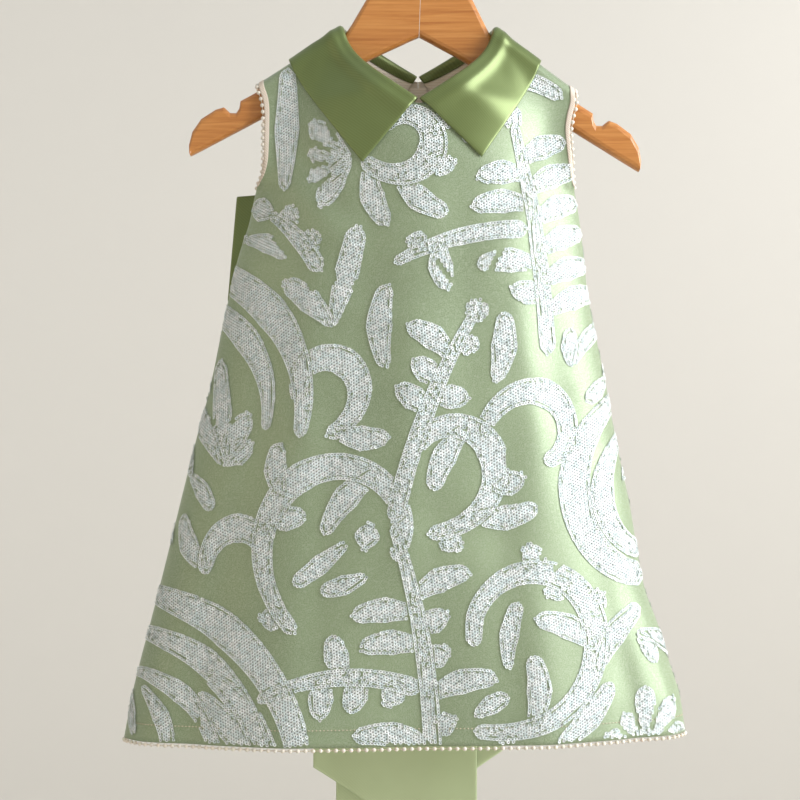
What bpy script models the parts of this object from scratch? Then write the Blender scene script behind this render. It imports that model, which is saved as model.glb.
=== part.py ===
"""Sleeveless party dress with a satin collar, a back bow and pearl edging, on a wooden hanger.

All sizes are in millimetres until MM turns them into Blender's metres. +Z is up, the front
faces -Y and +X is on the viewer's right. The origin is where the hanger's hook bears on its
rail. Left and right are the viewer's, looking at the front.
"""

import math

import bpy
import numpy as np

for old in list(bpy.context.scene.objects):
    bpy.data.objects.remove(old, do_unlink=True)

MM = 0.001

# Walls and clearances
SEAM_GAP = 0.3
INSIDE_GAP = 1.0
PANEL_WALL = 1.1
COLLAR_WALL = 1.2
LINING_WALL = 1.0
BOW_WALL = 1.4

# Body: heights are drops below the left shoulder tip
SHOULDER_Z = -161.9
UNDERARM_DROP = 77.7
HEM_DROP = 481.7
HEM_RISE = 2.3
HEM_TILT = 0.011
NECK_CENTRE_X = -4.9
HEM_CENTRE_X = -15.0

# Edges of the body: the armhole edge down to the underarm, then the side seam
EDGES = [
    # drop, left x, right x
    (-45.0, -122.4, 109.7),
    (0.0, -122.4, 109.7),
    (14.0, -118.5, 110.0),
    (24.0, -117.6, 107.6),
    (36.0, -117.6, 105.8),
    (55.0, -117.8, 107.2),
    (66.0, -119.4, 108.2),
    (77.7, -124.6, 110.4),
    (102.9, -130.2, 114.6),
    (125.8, -137.6, 117.2),
    (156.1, -144.8, 120.6),
    (192.4, -152.5, 127.7),
    (225.7, -159.4, 134.6),
    (259.7, -168.6, 140.6),
    (312.3, -181.8, 151.7),
    (351.5, -191.4, 158.2),
    (375.0, -197.3, 163.2),
    (397.0, -203.0, 171.6),
    (427.7, -211.1, 181.0),
    (451.4, -216.8, 188.4),
    (481.7, -222.5, 193.0),
]

# Depth of the hanging body at its middle, and how flat its section is (0.5 is an ellipse)
DEPTHS = [
    # drop, front depth, back depth, flatness
    (-45.0, 30.0, 25.0, 0.80),
    (18.0, 37.0, 31.0, 0.80),
    (77.7, 43.0, 37.0, 0.70),
    (156.0, 47.0, 42.0, 0.62),
    (260.0, 55.0, 50.0, 0.56),
    (372.0, 61.0, 58.0, 0.53),
    (481.7, 62.5, 64.0, 0.52),
]

# Soft flutes, which start below the chest and deepen to the hem
FRONT_FLUTES = [
    # place across (-1 to 1), width, depth at the hem, drop where it starts
    (-0.76, 0.07, 4.0, 210.0),
    (-0.55, 0.08, -4.5, 240.0),
    (-0.27, 0.10, 5.0, 260.0),
    (0.03, 0.10, -4.5, 250.0),
    (0.33, 0.09, 5.0, 230.0),
    (0.60, 0.07, -5.0, 300.0),
    (0.80, 0.06, 5.0, 330.0),
]
BACK_FLUTES = [
    # place across (-1 to 1), width, depth at the hem, drop where it starts
    (-0.74, 0.08, 5.0, 190.0),
    (-0.46, 0.09, -5.0, 220.0),
    (-0.20, 0.08, 4.0, 250.0),
    (0.20, 0.09, 4.5, 240.0),
    (0.46, 0.08, -5.0, 200.0),
    (0.76, 0.08, 4.0, 230.0),
]
FLUTE_GROWTH = 1.4
FLUTE_EDGE_FADE = 6

# Shoulders, which lie over the hanger's arms
NECK_SIDE_LEFT = (-64.0, -122.9)
NECK_SIDE_RIGHT = (54.0, -123.9)
SHOULDER_SLOPE_LEFT = 0.643
SHOULDER_SLOPE_RIGHT = 0.735
RIDGE_DEPTH = 9.0
RIDGE_DROP = 7.5
RIDGE_REACH = 12.9
DRAPE_DROP = 70.0
ARMHOLE_HALF_DEPTH = 16.0
ARMHOLE_MIDDLE_DROP = 40.0
ARMHOLE_SPREAD = 12

# Neckline
FRONT_NECK_Z = -182.2
BACK_NECK_Z = -156.6
FRONT_NECK_ROUND = 40.0
BACK_NECK_ROUND = 8.0
NECK_POINT_ROUND = 4.0
NECK_POINT_SHARE = 0.4

# Collar: its edge in pattern places, x and the distance from the shoulder ridge
COLLARS = {
    # hand: point's distance from the middle, its reach in front and behind, x at the shoulder
    -1: (40.5, 118.0, 101.0, -99.5),
    1: (45.0, 111.5, 101.0, 84.5),
}
COLLAR_EDGE_ROUND = 16.0
COLLAR_PART = 1.1
COLLAR_LIFT = 1.1
COLLAR_INSET = 0.9
COLLAR_RIDGE_LIFT = 0.6
COLLAR_ROLL = 0.9
COLLAR_EAVE = 1.0
FOLD_REACH = 2.0
FOLD_FLATTEN = 0.8
STAND_SIDE = 7.5
STAND_FRONT = 3.0
STAND_BACK = 2.0
STAND_LEAST = 1.5
STAND_END_SHARE = 0.12
STAND_END_CUT = 0.25
COLLAR_END_CLEAR = 2.0

# Back neck
LINING_DEPTH = 40.0
LINING_UNDER_STAND = 0.4
LINING_ROWS = 6
PLACKET_WIDTH = 12.5
PLACKET_LENGTH = 88.0
PLACKET_DROP = 4.0
PLACKET_INSET = 4.2
BUTTON_RADIUS = 3.8
BUTTON_HEIGHT = 2.4
BUTTON_DROP = 19.0
BUTTON_FROM_MIDDLE = 4.8
BUTTON_SEAT = 0.6
BUTTON_RINGS = [
    # share of the radius, share of the height
    (0.70, 0.0),
    (1.00, 0.35),
    (1.00, 0.70),
    (0.75, 1.0),
]
BUTTON_SIDES = 16
LOOP_WIRE_RADIUS = 0.6
LOOP_HALF_WIDTH = 8.2
LOOP_HALF_HEIGHT = 5.4
LOOP_SHIFT = 2.6
LOOP_POINTS = 20

# Pearl edging
EDGING_RADIUS = 1.6

# Bow and sash
BOW_X = -13.0
BOW_Z = -275.0
BOW_LOOPS = [
    # name, side, reach, half height at the knot, half height at the tip, droop, slant of the tip
    ("bow_loop_left", -1, 136.0, 17.0, 40.0, 5.0, 7.0),
    ("bow_loop_right", 1, 118.0, 17.0, 40.0, 16.0, 7.0),
]
BOW_STAND_OFF = 2.2
BOW_FULLNESS = 11.0
BOW_SWEEP = 7.0
BOW_PLEAT = 1.8
BOW_PLEATS = 2.5
BOW_ROUND = 0.75
BOW_PINCH = 0.22
KNOT_WIDTH = 30.0
KNOT_HEIGHT = 44.0
KNOT_DEPTH = 22.0
KNOT_END = 0.3
KNOT_BULGE = 3.5
KNOT_SQUARE = 0.75
SASH_TAILS = [
    # name, top x, left end x, left end z, right end x, right end z, lift off the back
    ("sash_tail_front", -19.0, -85.5, -679.0, 41.0, -759.5, 1.6),
    ("sash_tail_back", -7.0, -68.0, -757.0, 60.5, -667.0, 5.6),
]
SASH_TOP_HALF = 12.0
SASH_FLARE_DROP = 230.0
SASH_FOLD = 2.6
SASH_FOLDS = 2.2
SASH_FOLD_LIFT = 0.35
SASH_UNDER_KNOT = 0.6
SASH_BEHIND_KNOT = 5.2
SASH_INWARD = 0.02
SASH_ROWS = 18
SASH_COLUMNS = 9

# Hanger: one half's outline in its own frame, upright, from the middle to the tip
HANGER_TILT = math.radians(2.0)
HANGER_THICKNESS = 11.0
HANGER_EDGE_ROUND = 4.6
HANGER_OUTLINE = [
    # top x, top z, bottom x, bottom z
    (0.0, -61.0, 0.0, -127.1),
    (12.0, -61.0, 9.0, -131.4),
    (14.2, -63.5, 11.5, -132.8),
    (38.8, -98.6, 27.0, -140.4),
    (50.0, -119.3, 40.0, -147.4),
    (56.8, -130.2, 50.0, -153.3),
    (75.0, -141.0, 64.0, -161.6),
    (98.0, -156.2, 87.0, -175.3),
    (120.0, -172.6, 110.0, -189.0),
    (130.2, -178.6, 124.0, -197.2),
    (130.9, -184.2, 128.0, -199.5),
    (133.0, -187.6, 131.0, -201.2),
    (137.5, -187.6, 136.0, -204.0),
    (141.0, -184.4, 140.5, -206.6),
    (142.4, -183.6, 142.5, -207.8),
    (148.3, -185.6, 149.0, -211.5),
    (158.7, -192.8, 156.5, -215.8),
    (164.9, -202.5, 161.5, -218.6),
    (167.1, -212.3, 164.4, -220.2),
    (166.6, -217.6, 165.6, -220.6),
]
HOOK_WIRE_RADIUS = 1.5
HOOK_RADIUS = 20.0
HOOK_START = math.radians(-42)
HOOK_END = math.radians(208)
FERRULE_RADIUS = 4.5
FERRULE_HEIGHT = 3.0
FERRULE_TAPER = 0.8
FERRULE_SIDES = 16
HOOK_STEM = 11.0
HOOK_SWAY = 10.0
HOOK_STEM_STEPS = 9
HOOK_BEND_STEPS = 18


def curve_through(rows, column):
    """A smooth curve through one column of a table, against the table's first column."""
    places = np.array([row[0] for row in rows])
    values = np.array([row[column] for row in rows])
    steps = np.diff(values) / np.diff(places)
    slopes = np.zeros(len(values))
    slopes[0] = steps[0]
    slopes[-1] = steps[-1]
    for i in range(1, len(values) - 1):
        if steps[i - 1] * steps[i] > 0:
            slopes[i] = 2 * steps[i - 1] * steps[i] / (steps[i - 1] + steps[i])

    def value(place):
        place = min(max(place, places[0]), places[-1])
        i = min(int(np.searchsorted(places, place, side="right")) - 1, len(places) - 2)
        span = places[i + 1] - places[i]
        t = (place - places[i]) / span
        return (
            values[i] * (1 + 2 * t) * (1 - t) ** 2
            + slopes[i] * span * t * (1 - t) ** 2
            + values[i + 1] * t * t * (3 - 2 * t)
            + slopes[i + 1] * span * t * t * (t - 1)
        )

    return value


def smooth(t):
    t = min(max(t, 0.0), 1.0)
    return t * t * (3 - 2 * t)


left_edge = curve_through(EDGES, 1)
right_edge = curve_through(EDGES, 2)
front_depth = curve_through(DEPTHS, 1)
back_depth = curve_through(DEPTHS, 2)
flatness = curve_through(DEPTHS, 3)

FRONT = -1
BACK = 1


def centre_x(drop):
    return NECK_CENTRE_X + (HEM_CENTRE_X - NECK_CENTRE_X) * smooth(drop / HEM_DROP)


def x_across(u, drop):
    """The x of a place across the body, from -1 at the left edge to 1 at the right one."""
    edge = left_edge(drop) if u < 0 else right_edge(drop)
    middle = centre_x(drop)
    return middle + abs(edge - middle) * math.sin(u * math.pi / 2)


def u_across(x, drop):
    middle = centre_x(drop)
    edge = left_edge(drop) if x < middle else right_edge(drop)
    share = min(abs(x - middle) / abs(edge - middle), 1.0)
    return math.copysign(math.asin(share) * 2 / math.pi, x - middle)


def ridge_z(x):
    """Height of the shoulder ridge, which runs on past the neckline to the middle."""
    if x < NECK_CENTRE_X:
        return NECK_SIDE_LEFT[1] + SHOULDER_SLOPE_LEFT * (x - NECK_SIDE_LEFT[0])
    return NECK_SIDE_RIGHT[1] - SHOULDER_SLOPE_RIGHT * (x - NECK_SIDE_RIGHT[0])


def flutes(u, drop, rows):
    total = 0.0
    for place, width, depth, start in rows:
        grown = smooth((drop - start) / (HEM_DROP - start)) ** FLUTE_GROWTH
        total += depth * grown * math.exp(-(((u - place) / width) ** 2))
    return total


def surface(x, z, side):
    """The outer face of the body at x and z, on its front or back."""
    drop = SHOULDER_Z - z
    u = u_across(x, drop)
    across = abs(math.sin(u * math.pi / 2))
    depth = front_depth(drop) if side == FRONT else back_depth(drop)
    full = depth * math.cos(u * math.pi / 2) ** (2 * flatness(drop))
    below = (drop - ARMHOLE_MIDDLE_DROP) / (UNDERARM_DROP - ARMHOLE_MIDDLE_DROP)
    if below < 1:
        gape = ARMHOLE_HALF_DEPTH * math.sqrt(1 - max(below, 0.0) ** 2)
        full += gape * across**ARMHOLE_SPREAD
    full += flutes(u, drop, FRONT_FLUTES if side == FRONT else BACK_FLUTES) * (1 - across**FLUTE_EDGE_FADE)
    under = max(ridge_z(x) - z, 0.0)
    draped = RIDGE_DEPTH + (full - RIDGE_DEPTH) * smooth(under / DRAPE_DROP)
    rounding = math.sqrt(1 - (1 - min(under / RIDGE_DROP, 1.0)) ** 2)
    return np.array([x, side * rounding * draped, z])


def over_shoulder(x, reach):
    """The same face by x and the distance from the ridge: + in front, - behind."""
    if abs(reach) < RIDGE_REACH:
        under = RIDGE_DROP * (1 - math.cos(abs(reach) / RIDGE_REACH * math.pi / 2))
    else:
        under = RIDGE_DROP + abs(reach) - RIDGE_REACH
    return surface(x, ridge_z(x) - under, FRONT if reach > 0 else BACK)


def normal_over_shoulder(x, reach):
    step = 0.4
    along_x = over_shoulder(x + step, reach) - over_shoulder(x - step, reach)
    along_reach = over_shoulder(x, reach + step) - over_shoulder(x, reach - step)
    facing = np.cross(along_reach, along_x)
    facing /= np.linalg.norm(facing)
    outward = np.array([0.0, -1.0, 1.0]) if reach > 0 else np.array([0.0, 1.0, 1.0])
    return facing if facing @ outward > 0 else -facing


class Neck:
    """The neckline of one side, left or right, on the front or the back."""

    def __init__(self, hand, side):
        self.hand = hand
        self.side = side
        self.corner = NECK_SIDE_LEFT if hand < 0 else NECK_SIDE_RIGHT
        self.middle_z = FRONT_NECK_Z if side == FRONT else BACK_NECK_Z
        self.round = FRONT_NECK_ROUND if side == FRONT else BACK_NECK_ROUND
        under = ridge_z(NECK_CENTRE_X + hand * 0.01) - self.middle_z
        self.middle_reach = under - RIDGE_DROP + RIDGE_REACH
        run = math.hypot(self.middle_reach, self.round) - self.round
        self.lean = (NECK_CENTRE_X - self.corner[0]) / run

    def x_at(self, reach):
        """The neckline's x at a distance from the ridge."""
        return self.corner[0] + self.lean * (math.hypot(reach, self.round) - self.round)

    def z_at(self, x):
        """The neckline's height at x, rounded where the two sides meet."""
        from_middle = math.hypot(x - NECK_CENTRE_X, NECK_POINT_ROUND)
        from_middle -= NECK_POINT_ROUND * NECK_POINT_SHARE
        x = NECK_CENTRE_X + self.hand * from_middle
        run = max((x - self.corner[0]) / self.lean, 0.0) + self.round
        reach = math.sqrt(max(run**2 - self.round**2, 0.0))
        if reach < RIDGE_REACH:
            under = RIDGE_DROP * (1 - math.cos(reach / RIDGE_REACH * math.pi / 2))
        else:
            under = RIDGE_DROP + reach - RIDGE_REACH
        return ridge_z(x) - under


NECKS = {(hand, side): Neck(hand, side) for hand in (-1, 1) for side in (FRONT, BACK)}


def top_z(x, side):
    """The top of a panel at x: its neckline, or the shoulder ridge outside it."""
    if NECK_SIDE_LEFT[0] < x < NECK_SIDE_RIGHT[0]:
        hand = -1 if x < NECK_CENTRE_X else 1
        return min(NECKS[hand, side].z_at(x), ridge_z(x))
    return ridge_z(x)


def material(name, colour, roughness, metallic=0.0):
    made = bpy.data.materials.new(name)
    made.use_nodes = True
    shader = made.node_tree.nodes["Principled BSDF"]
    shader.inputs["Base Color"].default_value = (*colour, 1.0)
    shader.inputs["Roughness"].default_value = roughness
    shader.inputs["Metallic"].default_value = metallic
    return made


SEQUINED = material("sequined_net_on_satin", (0.45, 0.52, 0.42), 0.35, 0.2)
SATIN = material("green_satin", (0.24, 0.33, 0.14), 0.30)
LINING = material("cream_lining", (0.72, 0.66, 0.54), 0.60)
PEARL = material("pearl", (0.86, 0.82, 0.74), 0.25)
THREAD = material("cream_thread", (0.75, 0.69, 0.58), 0.70)
WOOD = material("varnished_wood", (0.62, 0.26, 0.06), 0.35)
STEEL = material("polished_steel", (0.70, 0.70, 0.68), 0.20, 1.0)


def add_mesh(name, points, faces, finish):
    mesh = bpy.data.meshes.new(name)
    mesh.from_pydata([tuple(point * MM) for point in points], [], faces)
    mesh.materials.append(finish)
    mesh.shade_smooth()
    mesh.set_sharp_from_angle(angle=math.radians(40))
    made = bpy.data.objects.new(name, mesh)
    bpy.context.scene.collection.objects.link(made)
    return made


def grid_normals(grid):
    """Unit normals of a grid of points, rows by columns."""
    along_rows = np.gradient(grid, axis=0)
    along_columns = np.gradient(grid, axis=1)
    normals = np.cross(along_rows, along_columns)
    return normals / np.linalg.norm(normals, axis=2, keepdims=True)


def sheet_solid(name, face, other, finish):
    """One closed wall between two grids of points that face away from each other."""
    rows, columns = face.shape[:2]
    points = np.concatenate([face.reshape(-1, 3), other.reshape(-1, 3)])
    behind = rows * columns

    def at(row, column):
        return row * columns + column

    faces = []
    for row in range(rows - 1):
        for column in range(columns - 1):
            a = at(row, column)
            b = at(row, column + 1)
            c = at(row + 1, column + 1)
            d = at(row + 1, column)
            faces.append((a, b, c, d))
            faces.append((a + behind, d + behind, c + behind, b + behind))
    rim = [at(0, column) for column in range(columns)]
    rim += [at(row, columns - 1) for row in range(1, rows)]
    rim += [at(rows - 1, column) for column in range(columns - 2, -1, -1)]
    rim += [at(row, 0) for row in range(rows - 2, 0, -1)]
    for first, second in zip(rim, rim[1:] + rim[:1]):
        faces.append((second, first, first + behind, second + behind))
    if signed_volume(points, faces) < 0:
        faces = [tuple(reversed(corners)) for corners in faces]
    return add_mesh(name, points, faces, finish)


def signed_volume(points, faces):
    total = 0.0
    for corners in faces:
        first = points[corners[0]]
        for second, third in zip(corners[1:], corners[2:]):
            total += first @ np.cross(points[second], points[third])
    return total / 6


def ringed_solid(name, rings, finish):
    """A closed solid through rings of points, with a flat cap at both ends."""
    sides = len(rings[0])
    last = (len(rings) - 1) * sides
    points = np.array(rings).reshape(-1, 3)
    faces = [tuple(range(sides)), tuple(reversed(range(last, last + sides)))]
    for row in range(0, last, sides):
        for i in range(sides):
            j = (i + 1) % sides
            faces.append((row + j, row + i, row + i + sides, row + j + sides))
    if signed_volume(points, faces) < 0:
        faces = [tuple(reversed(corners)) for corners in faces]
    return add_mesh(name, points, faces, finish)


def sheet_around(name, middle, wall, finish):
    """A wall of even thickness about a grid of middle points."""
    offset = grid_normals(middle) * wall / 2
    return sheet_solid(name, middle + offset, middle - offset, finish)


def tube(name, points, radius, finish, closed=False, sides=2):
    """A round tube along a line of points."""
    curve = bpy.data.curves.new(name, "CURVE")
    curve.dimensions = "3D"
    curve.bevel_depth = radius * MM
    curve.bevel_resolution = sides
    curve.use_fill_caps = True
    curve.materials.append(finish)
    line = curve.splines.new("POLY")
    line.points.add(len(points) - 1)
    for knot, point in zip(line.points, points):
        knot.co = (*(point * MM), 1.0)
    line.use_cyclic_u = closed
    made = bpy.data.objects.new(name, curve)
    bpy.context.scene.collection.objects.link(made)
    return made


# Body panels

LOWER_ROWS = 12
UPPER_ROWS = 13
SIDE_COLUMNS = 7
NECK_COLUMNS = 11
CORNER_EASE = 1.8
STRAP_TOP = 0.02


def neck_side_u(hand):
    x, z = NECK_SIDE_LEFT if hand < 0 else NECK_SIDE_RIGHT
    return u_across(x, SHOULDER_Z - z)


def column_places(start, end):
    """Places across a panel, with one column on the neckline's corner."""
    places = []
    if start < 0:
        corner = neck_side_u(-1)
        places += list(np.linspace(-1, corner, SIDE_COLUMNS, endpoint=False))
        eased = np.linspace(0, 1, NECK_COLUMNS) ** CORNER_EASE
        places += list(corner + (min(end, 0) - corner) * eased)
    if end > 0:
        corner = neck_side_u(1)
        eased = 1 - np.linspace(1, 0, NECK_COLUMNS) ** CORNER_EASE
        inner = list(max(start, 0) + (corner - max(start, 0)) * eased)
        places += inner[1:] if start < 0 else inner
        places += list(np.linspace(corner, 1, SIDE_COLUMNS + 1))[1:]
    return places


def hem_z(u):
    """The hem's height at a place across: it hangs a little higher on the right."""
    return SHOULDER_Z - HEM_DROP + HEM_RISE + HEM_TILT * x_across(u, HEM_DROP)


def row_heights(hem, top):
    """Heights up a column: hem to underarm, then underarm to the top, close at both ends."""
    underarm = SHOULDER_Z - UNDERARM_DROP
    heights = [hem + (underarm - hem) * i / LOWER_ROWS for i in range(LOWER_ROWS)]
    for i in range(UPPER_ROWS + 1):
        share = (1 - math.cos(math.pi * i / UPPER_ROWS)) / 2
        heights.append(underarm + (top - underarm) * share)
    return heights


def panel_top(u, side):
    z = SHOULDER_Z
    for _ in range(30):
        z = (z + top_z(x_across(u, SHOULDER_Z - z), side)) / 2
    return z


def panel_face(start, end, side):
    """The outer face of a panel as a grid of points, hem first."""
    rows = []
    for u in column_places(start, end):
        column = []
        for z in row_heights(hem_z(u), panel_top(u, side) - STRAP_TOP):
            point = surface(x_across(u, SHOULDER_Z - z), z, side)
            if abs(point[1]) < SEAM_GAP / 2:
                point[1] = side * SEAM_GAP / 2
            column.append(point)
        rows.append(column)
    return np.array(rows).transpose(1, 0, 2)


def level_edges(normals, face):
    """Keep a panel's cut edges on its seams: the wall's rim stays in the seam's plane."""
    normals[0, :, 2] = 0
    on_side_seam = slice(0, LOWER_ROWS + 1)
    for column in (0, -1):
        at_seam = np.abs(face[on_side_seam, column, 1]) <= SEAM_GAP
        normals[on_side_seam, column, 1] = np.where(at_seam, 0, normals[on_side_seam, column, 1])
    on_ridge = np.abs(face[-1, :, 1]) < RIDGE_DEPTH / 2
    normals[-1, on_ridge, 1] = 0
    return normals / np.linalg.norm(normals, axis=2, keepdims=True)


def centre_back_x(normals, column):
    normals[:, column, 0] = 0
    return normals / np.linalg.norm(normals, axis=2, keepdims=True)


def build_panels():
    faces = {"dress_front": panel_face(-1, 1, FRONT)}
    normals = {"dress_front": -grid_normals(faces["dress_front"])}
    for name, start, end, middle in (("dress_back_left", -1, 0, -1), ("dress_back_right", 0, 1, 0)):
        face = panel_face(start, end, BACK)
        face[:, middle, 0] += -SEAM_GAP / 2 if middle else SEAM_GAP / 2
        faces[name] = face
        normals[name] = centre_back_x(grid_normals(face), middle)
    inner = {}
    for name, face in faces.items():
        normal = normals[name]
        facing = FRONT if name == "dress_front" else BACK
        if np.mean(normal[:, :, 1]) * facing < 0:
            normal = -normal
        normal = level_edges(normal, face)
        inner[name] = face - normal * PANEL_WALL
        sheet_solid(name, face, inner[name], SEQUINED)
    return faces, inner


# Collar and the lining of the back neck

COLLAR_STEPS = 11
FALL_STEPS = 6
FOLD_STEPS = 5
COLLAR_EASE = 1.6


class CollarEdge:
    """The collar's outer edge in pattern places, from its point to the shoulder."""

    def __init__(self, hand, side):
        out, front_reach, back_reach, self.corner_x = COLLARS[hand]
        self.point_x = NECK_CENTRE_X + hand * out
        self.reach = front_reach if side == FRONT else back_reach
        run = math.hypot(self.reach, COLLAR_EDGE_ROUND) - COLLAR_EDGE_ROUND
        self.lean = (self.point_x - self.corner_x) / run

    def x_at(self, reach):
        return self.corner_x + self.lean * (math.hypot(reach, COLLAR_EDGE_ROUND) - COLLAR_EDGE_ROUND)


def collar_sections(hand):
    """Pairs of pattern places, neckline then outer edge, from centre front to centre back."""
    pairs = []
    for side in (FRONT, BACK):
        neck = NECKS[hand, side]
        edge = CollarEdge(hand, side)
        part = COLLAR_PART if side == FRONT else COLLAR_PART / 2
        top_reach = neck.middle_reach - (part + COLLAR_INSET + COLLAR_END_CLEAR) / abs(neck.lean)
        for i in range(COLLAR_STEPS):
            share = 1 - i / (COLLAR_STEPS - 1)
            if side == BACK:
                share = 1 - share
            if side == BACK and i == 0:
                continue
            eased = share ** COLLAR_EASE
            neck_reach = top_reach * eased
            edge_reach = edge.reach * eased
            stand_end = STAND_FRONT if side == FRONT else STAND_BACK
            stand = stand_end + (STAND_SIDE - stand_end) * math.sin(math.pi * share) ** 0.5
            if share < STAND_END_SHARE:
                stand *= STAND_END_CUT
            pairs.append(
                (
                    np.array([neck.x_at(neck_reach) - hand * COLLAR_INSET, -side * neck_reach]),
                    np.array([edge.x_at(edge_reach), -side * edge_reach]),
                    max(stand, STAND_LEAST),
                )
            )
    return pairs


def offset_place(place, away):
    return over_shoulder(*place) + normal_over_shoulder(*place) * away


def collar_line(neck, edge, stand):
    """The middle of the collar's cloth in one section: stand, fold, then fall."""
    length = np.linalg.norm(edge - neck)
    along = (edge - neck) / length
    inside = -(PANEL_WALL + INSIDE_GAP + COLLAR_WALL / 2)
    near_ridge = math.exp(-((edge[1] / RIDGE_REACH) ** 2))
    outside = COLLAR_LIFT + COLLAR_RIDGE_LIFT * near_ridge + COLLAR_WALL / 2
    line = []
    for share in (1.0, 0.5, 0.0):
        line.append(offset_place(neck + along * stand * share, inside))
    start = over_shoulder(*neck)
    facing = normal_over_shoulder(*neck)
    fall = over_shoulder(*(neck + along * FOLD_REACH)) - start
    fall /= np.linalg.norm(fall)
    middle = (inside + outside + COLLAR_ROLL) / 2
    radius = (outside + COLLAR_ROLL - inside) / 2
    for i in range(1, FOLD_STEPS):
        angle = math.pi * i / FOLD_STEPS - math.pi / 2
        along_fall = -COLLAR_EAVE - radius * FOLD_FLATTEN * math.cos(angle)
        line.append(start + fall * along_fall + facing * (middle + radius * math.sin(angle)))
    for i in range(FALL_STEPS + 1):
        share = i / FALL_STEPS
        away = outside + COLLAR_ROLL * (1 - smooth(share * 2.5))
        line.append(offset_place(neck + along * length * share, away))
    return line


def build_collar_half(name, hand):
    pairs = collar_sections(hand)
    middle = np.array([collar_line(*pair) for pair in pairs])
    sheet_around(name, middle, COLLAR_WALL, SATIN)
    return pairs


def build_back_lining(name, pairs):
    """The lining inside the back neck, from the collar's stand down."""
    middle = []
    away = -(PANEL_WALL + INSIDE_GAP + LINING_WALL / 2)
    for neck, edge, stand in pairs[COLLAR_STEPS + 2:]:
        along = (edge - neck) / np.linalg.norm(edge - neck)
        line = []
        for i in range(LINING_ROWS):
            below_stand = (LINING_DEPTH - stand) * i / (LINING_ROWS - 1)
            depth = stand + LINING_UNDER_STAND + below_stand
            line.append(offset_place(neck + along * depth, away))
        middle.append(line)
    sheet_around(name, np.array(middle), LINING_WALL, LINING)


# Centre-back closure


def build_placket():
    rows = 9
    middle = []
    for i in range(rows):
        z = BACK_NECK_Z - PLACKET_DROP - PLACKET_LENGTH * i / (rows - 1)
        places = NECK_CENTRE_X + PLACKET_WIDTH * np.linspace(-0.5, 0.5, 4)
        middle.append([surface(x, z, BACK) - np.array([0, PLACKET_INSET, 0]) for x in places])
    sheet_around("placket", np.array(middle), LINING_WALL, LINING)


def build_button(x, z):
    """The button on the right back, with its thread loop round it."""
    seat = surface(x, z, BACK) + np.array([0, BUTTON_SEAT, 0])
    rings = []
    for width, height in BUTTON_RINGS:
        ring = []
        for i in range(BUTTON_SIDES):
            angle = 2 * math.pi * i / BUTTON_SIDES
            across = BUTTON_RADIUS * width
            turn = (math.cos(angle) * across, height * BUTTON_HEIGHT, math.sin(angle) * across)
            ring.append(seat + np.array(turn))
        rings.append(ring)
    ringed_solid("button", rings, PEARL)

    loop = []
    for i in range(LOOP_POINTS):
        angle = 2 * math.pi * i / LOOP_POINTS
        loop_x = x - LOOP_SHIFT + LOOP_HALF_WIDTH * math.cos(angle)
        loop_z = z + LOOP_HALF_HEIGHT * math.sin(angle)
        off = np.array([0, LOOP_WIRE_RADIUS + BUTTON_SEAT, 0])
        loop.append(surface(loop_x, loop_z, BACK) + off)
    tube("button_loop", loop, LOOP_WIRE_RADIUS, THREAD, closed=True, sides=1)


# Pearl edging


def wall_middle(faces, inner, name, rows, column):
    return (faces[name][rows, column] + inner[name][rows, column]) / 2


def armhole_line(faces, inner, hand):
    """Middle points of the edging round an armhole, up the front and down the back."""
    back = "dress_back_left" if hand < 0 else "dress_back_right"
    rows = slice(LOWER_ROWS, None)
    lines = []
    for name in ("dress_front", back):
        column = 0 if hand < 0 else -1
        nearby = 1 if hand < 0 else -2
        edge = wall_middle(faces, inner, name, rows, column)
        out = edge - wall_middle(faces, inner, name, rows, nearby)
        out /= np.linalg.norm(out, axis=1, keepdims=True)
        for point, away in zip(edge, out):
            away[2] += 1.6 * smooth(1 - (point[2] - edge[0][2]) / 12.0)
            away[0] = hand * max(abs(away[0]), 0.2)
        out /= np.linalg.norm(out, axis=1, keepdims=True)
        lines.append(edge + out * (EDGING_RADIUS + SEAM_GAP + 0.1))
    front, behind = lines
    bottom = (front[0] + behind[0]) / 2
    top = (front[-1] + behind[-1]) / 2
    return [bottom, *front[1:-1], top, *behind[-2:0:-1]]


def hem_line(faces, inner):
    below = np.array([0, 0, -(EDGING_RADIUS + SEAM_GAP)])
    front = wall_middle(faces, inner, "dress_front", 0, slice(None))
    left = wall_middle(faces, inner, "dress_back_left", 0, slice(None))
    right = wall_middle(faces, inner, "dress_back_right", 0, slice(None))
    around = [*front, *right[::-1][1:], *left[::-1][1:-1]]
    return [point + below for point in around]


def build_edging(faces, inner):
    for name, hand in (("armhole_pearls_left", -1), ("armhole_pearls_right", 1)):
        tube(name, armhole_line(faces, inner, hand), EDGING_RADIUS, PEARL, closed=True, sides=1)
    tube("hem_pearls", hem_line(faces, inner), EDGING_RADIUS, PEARL, closed=True, sides=1)


# Bow and sash

LOOP_STEPS = 10
LOOP_BANDS = 6


def back_y(x, z):
    return surface(x, z, BACK)[1]


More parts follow.
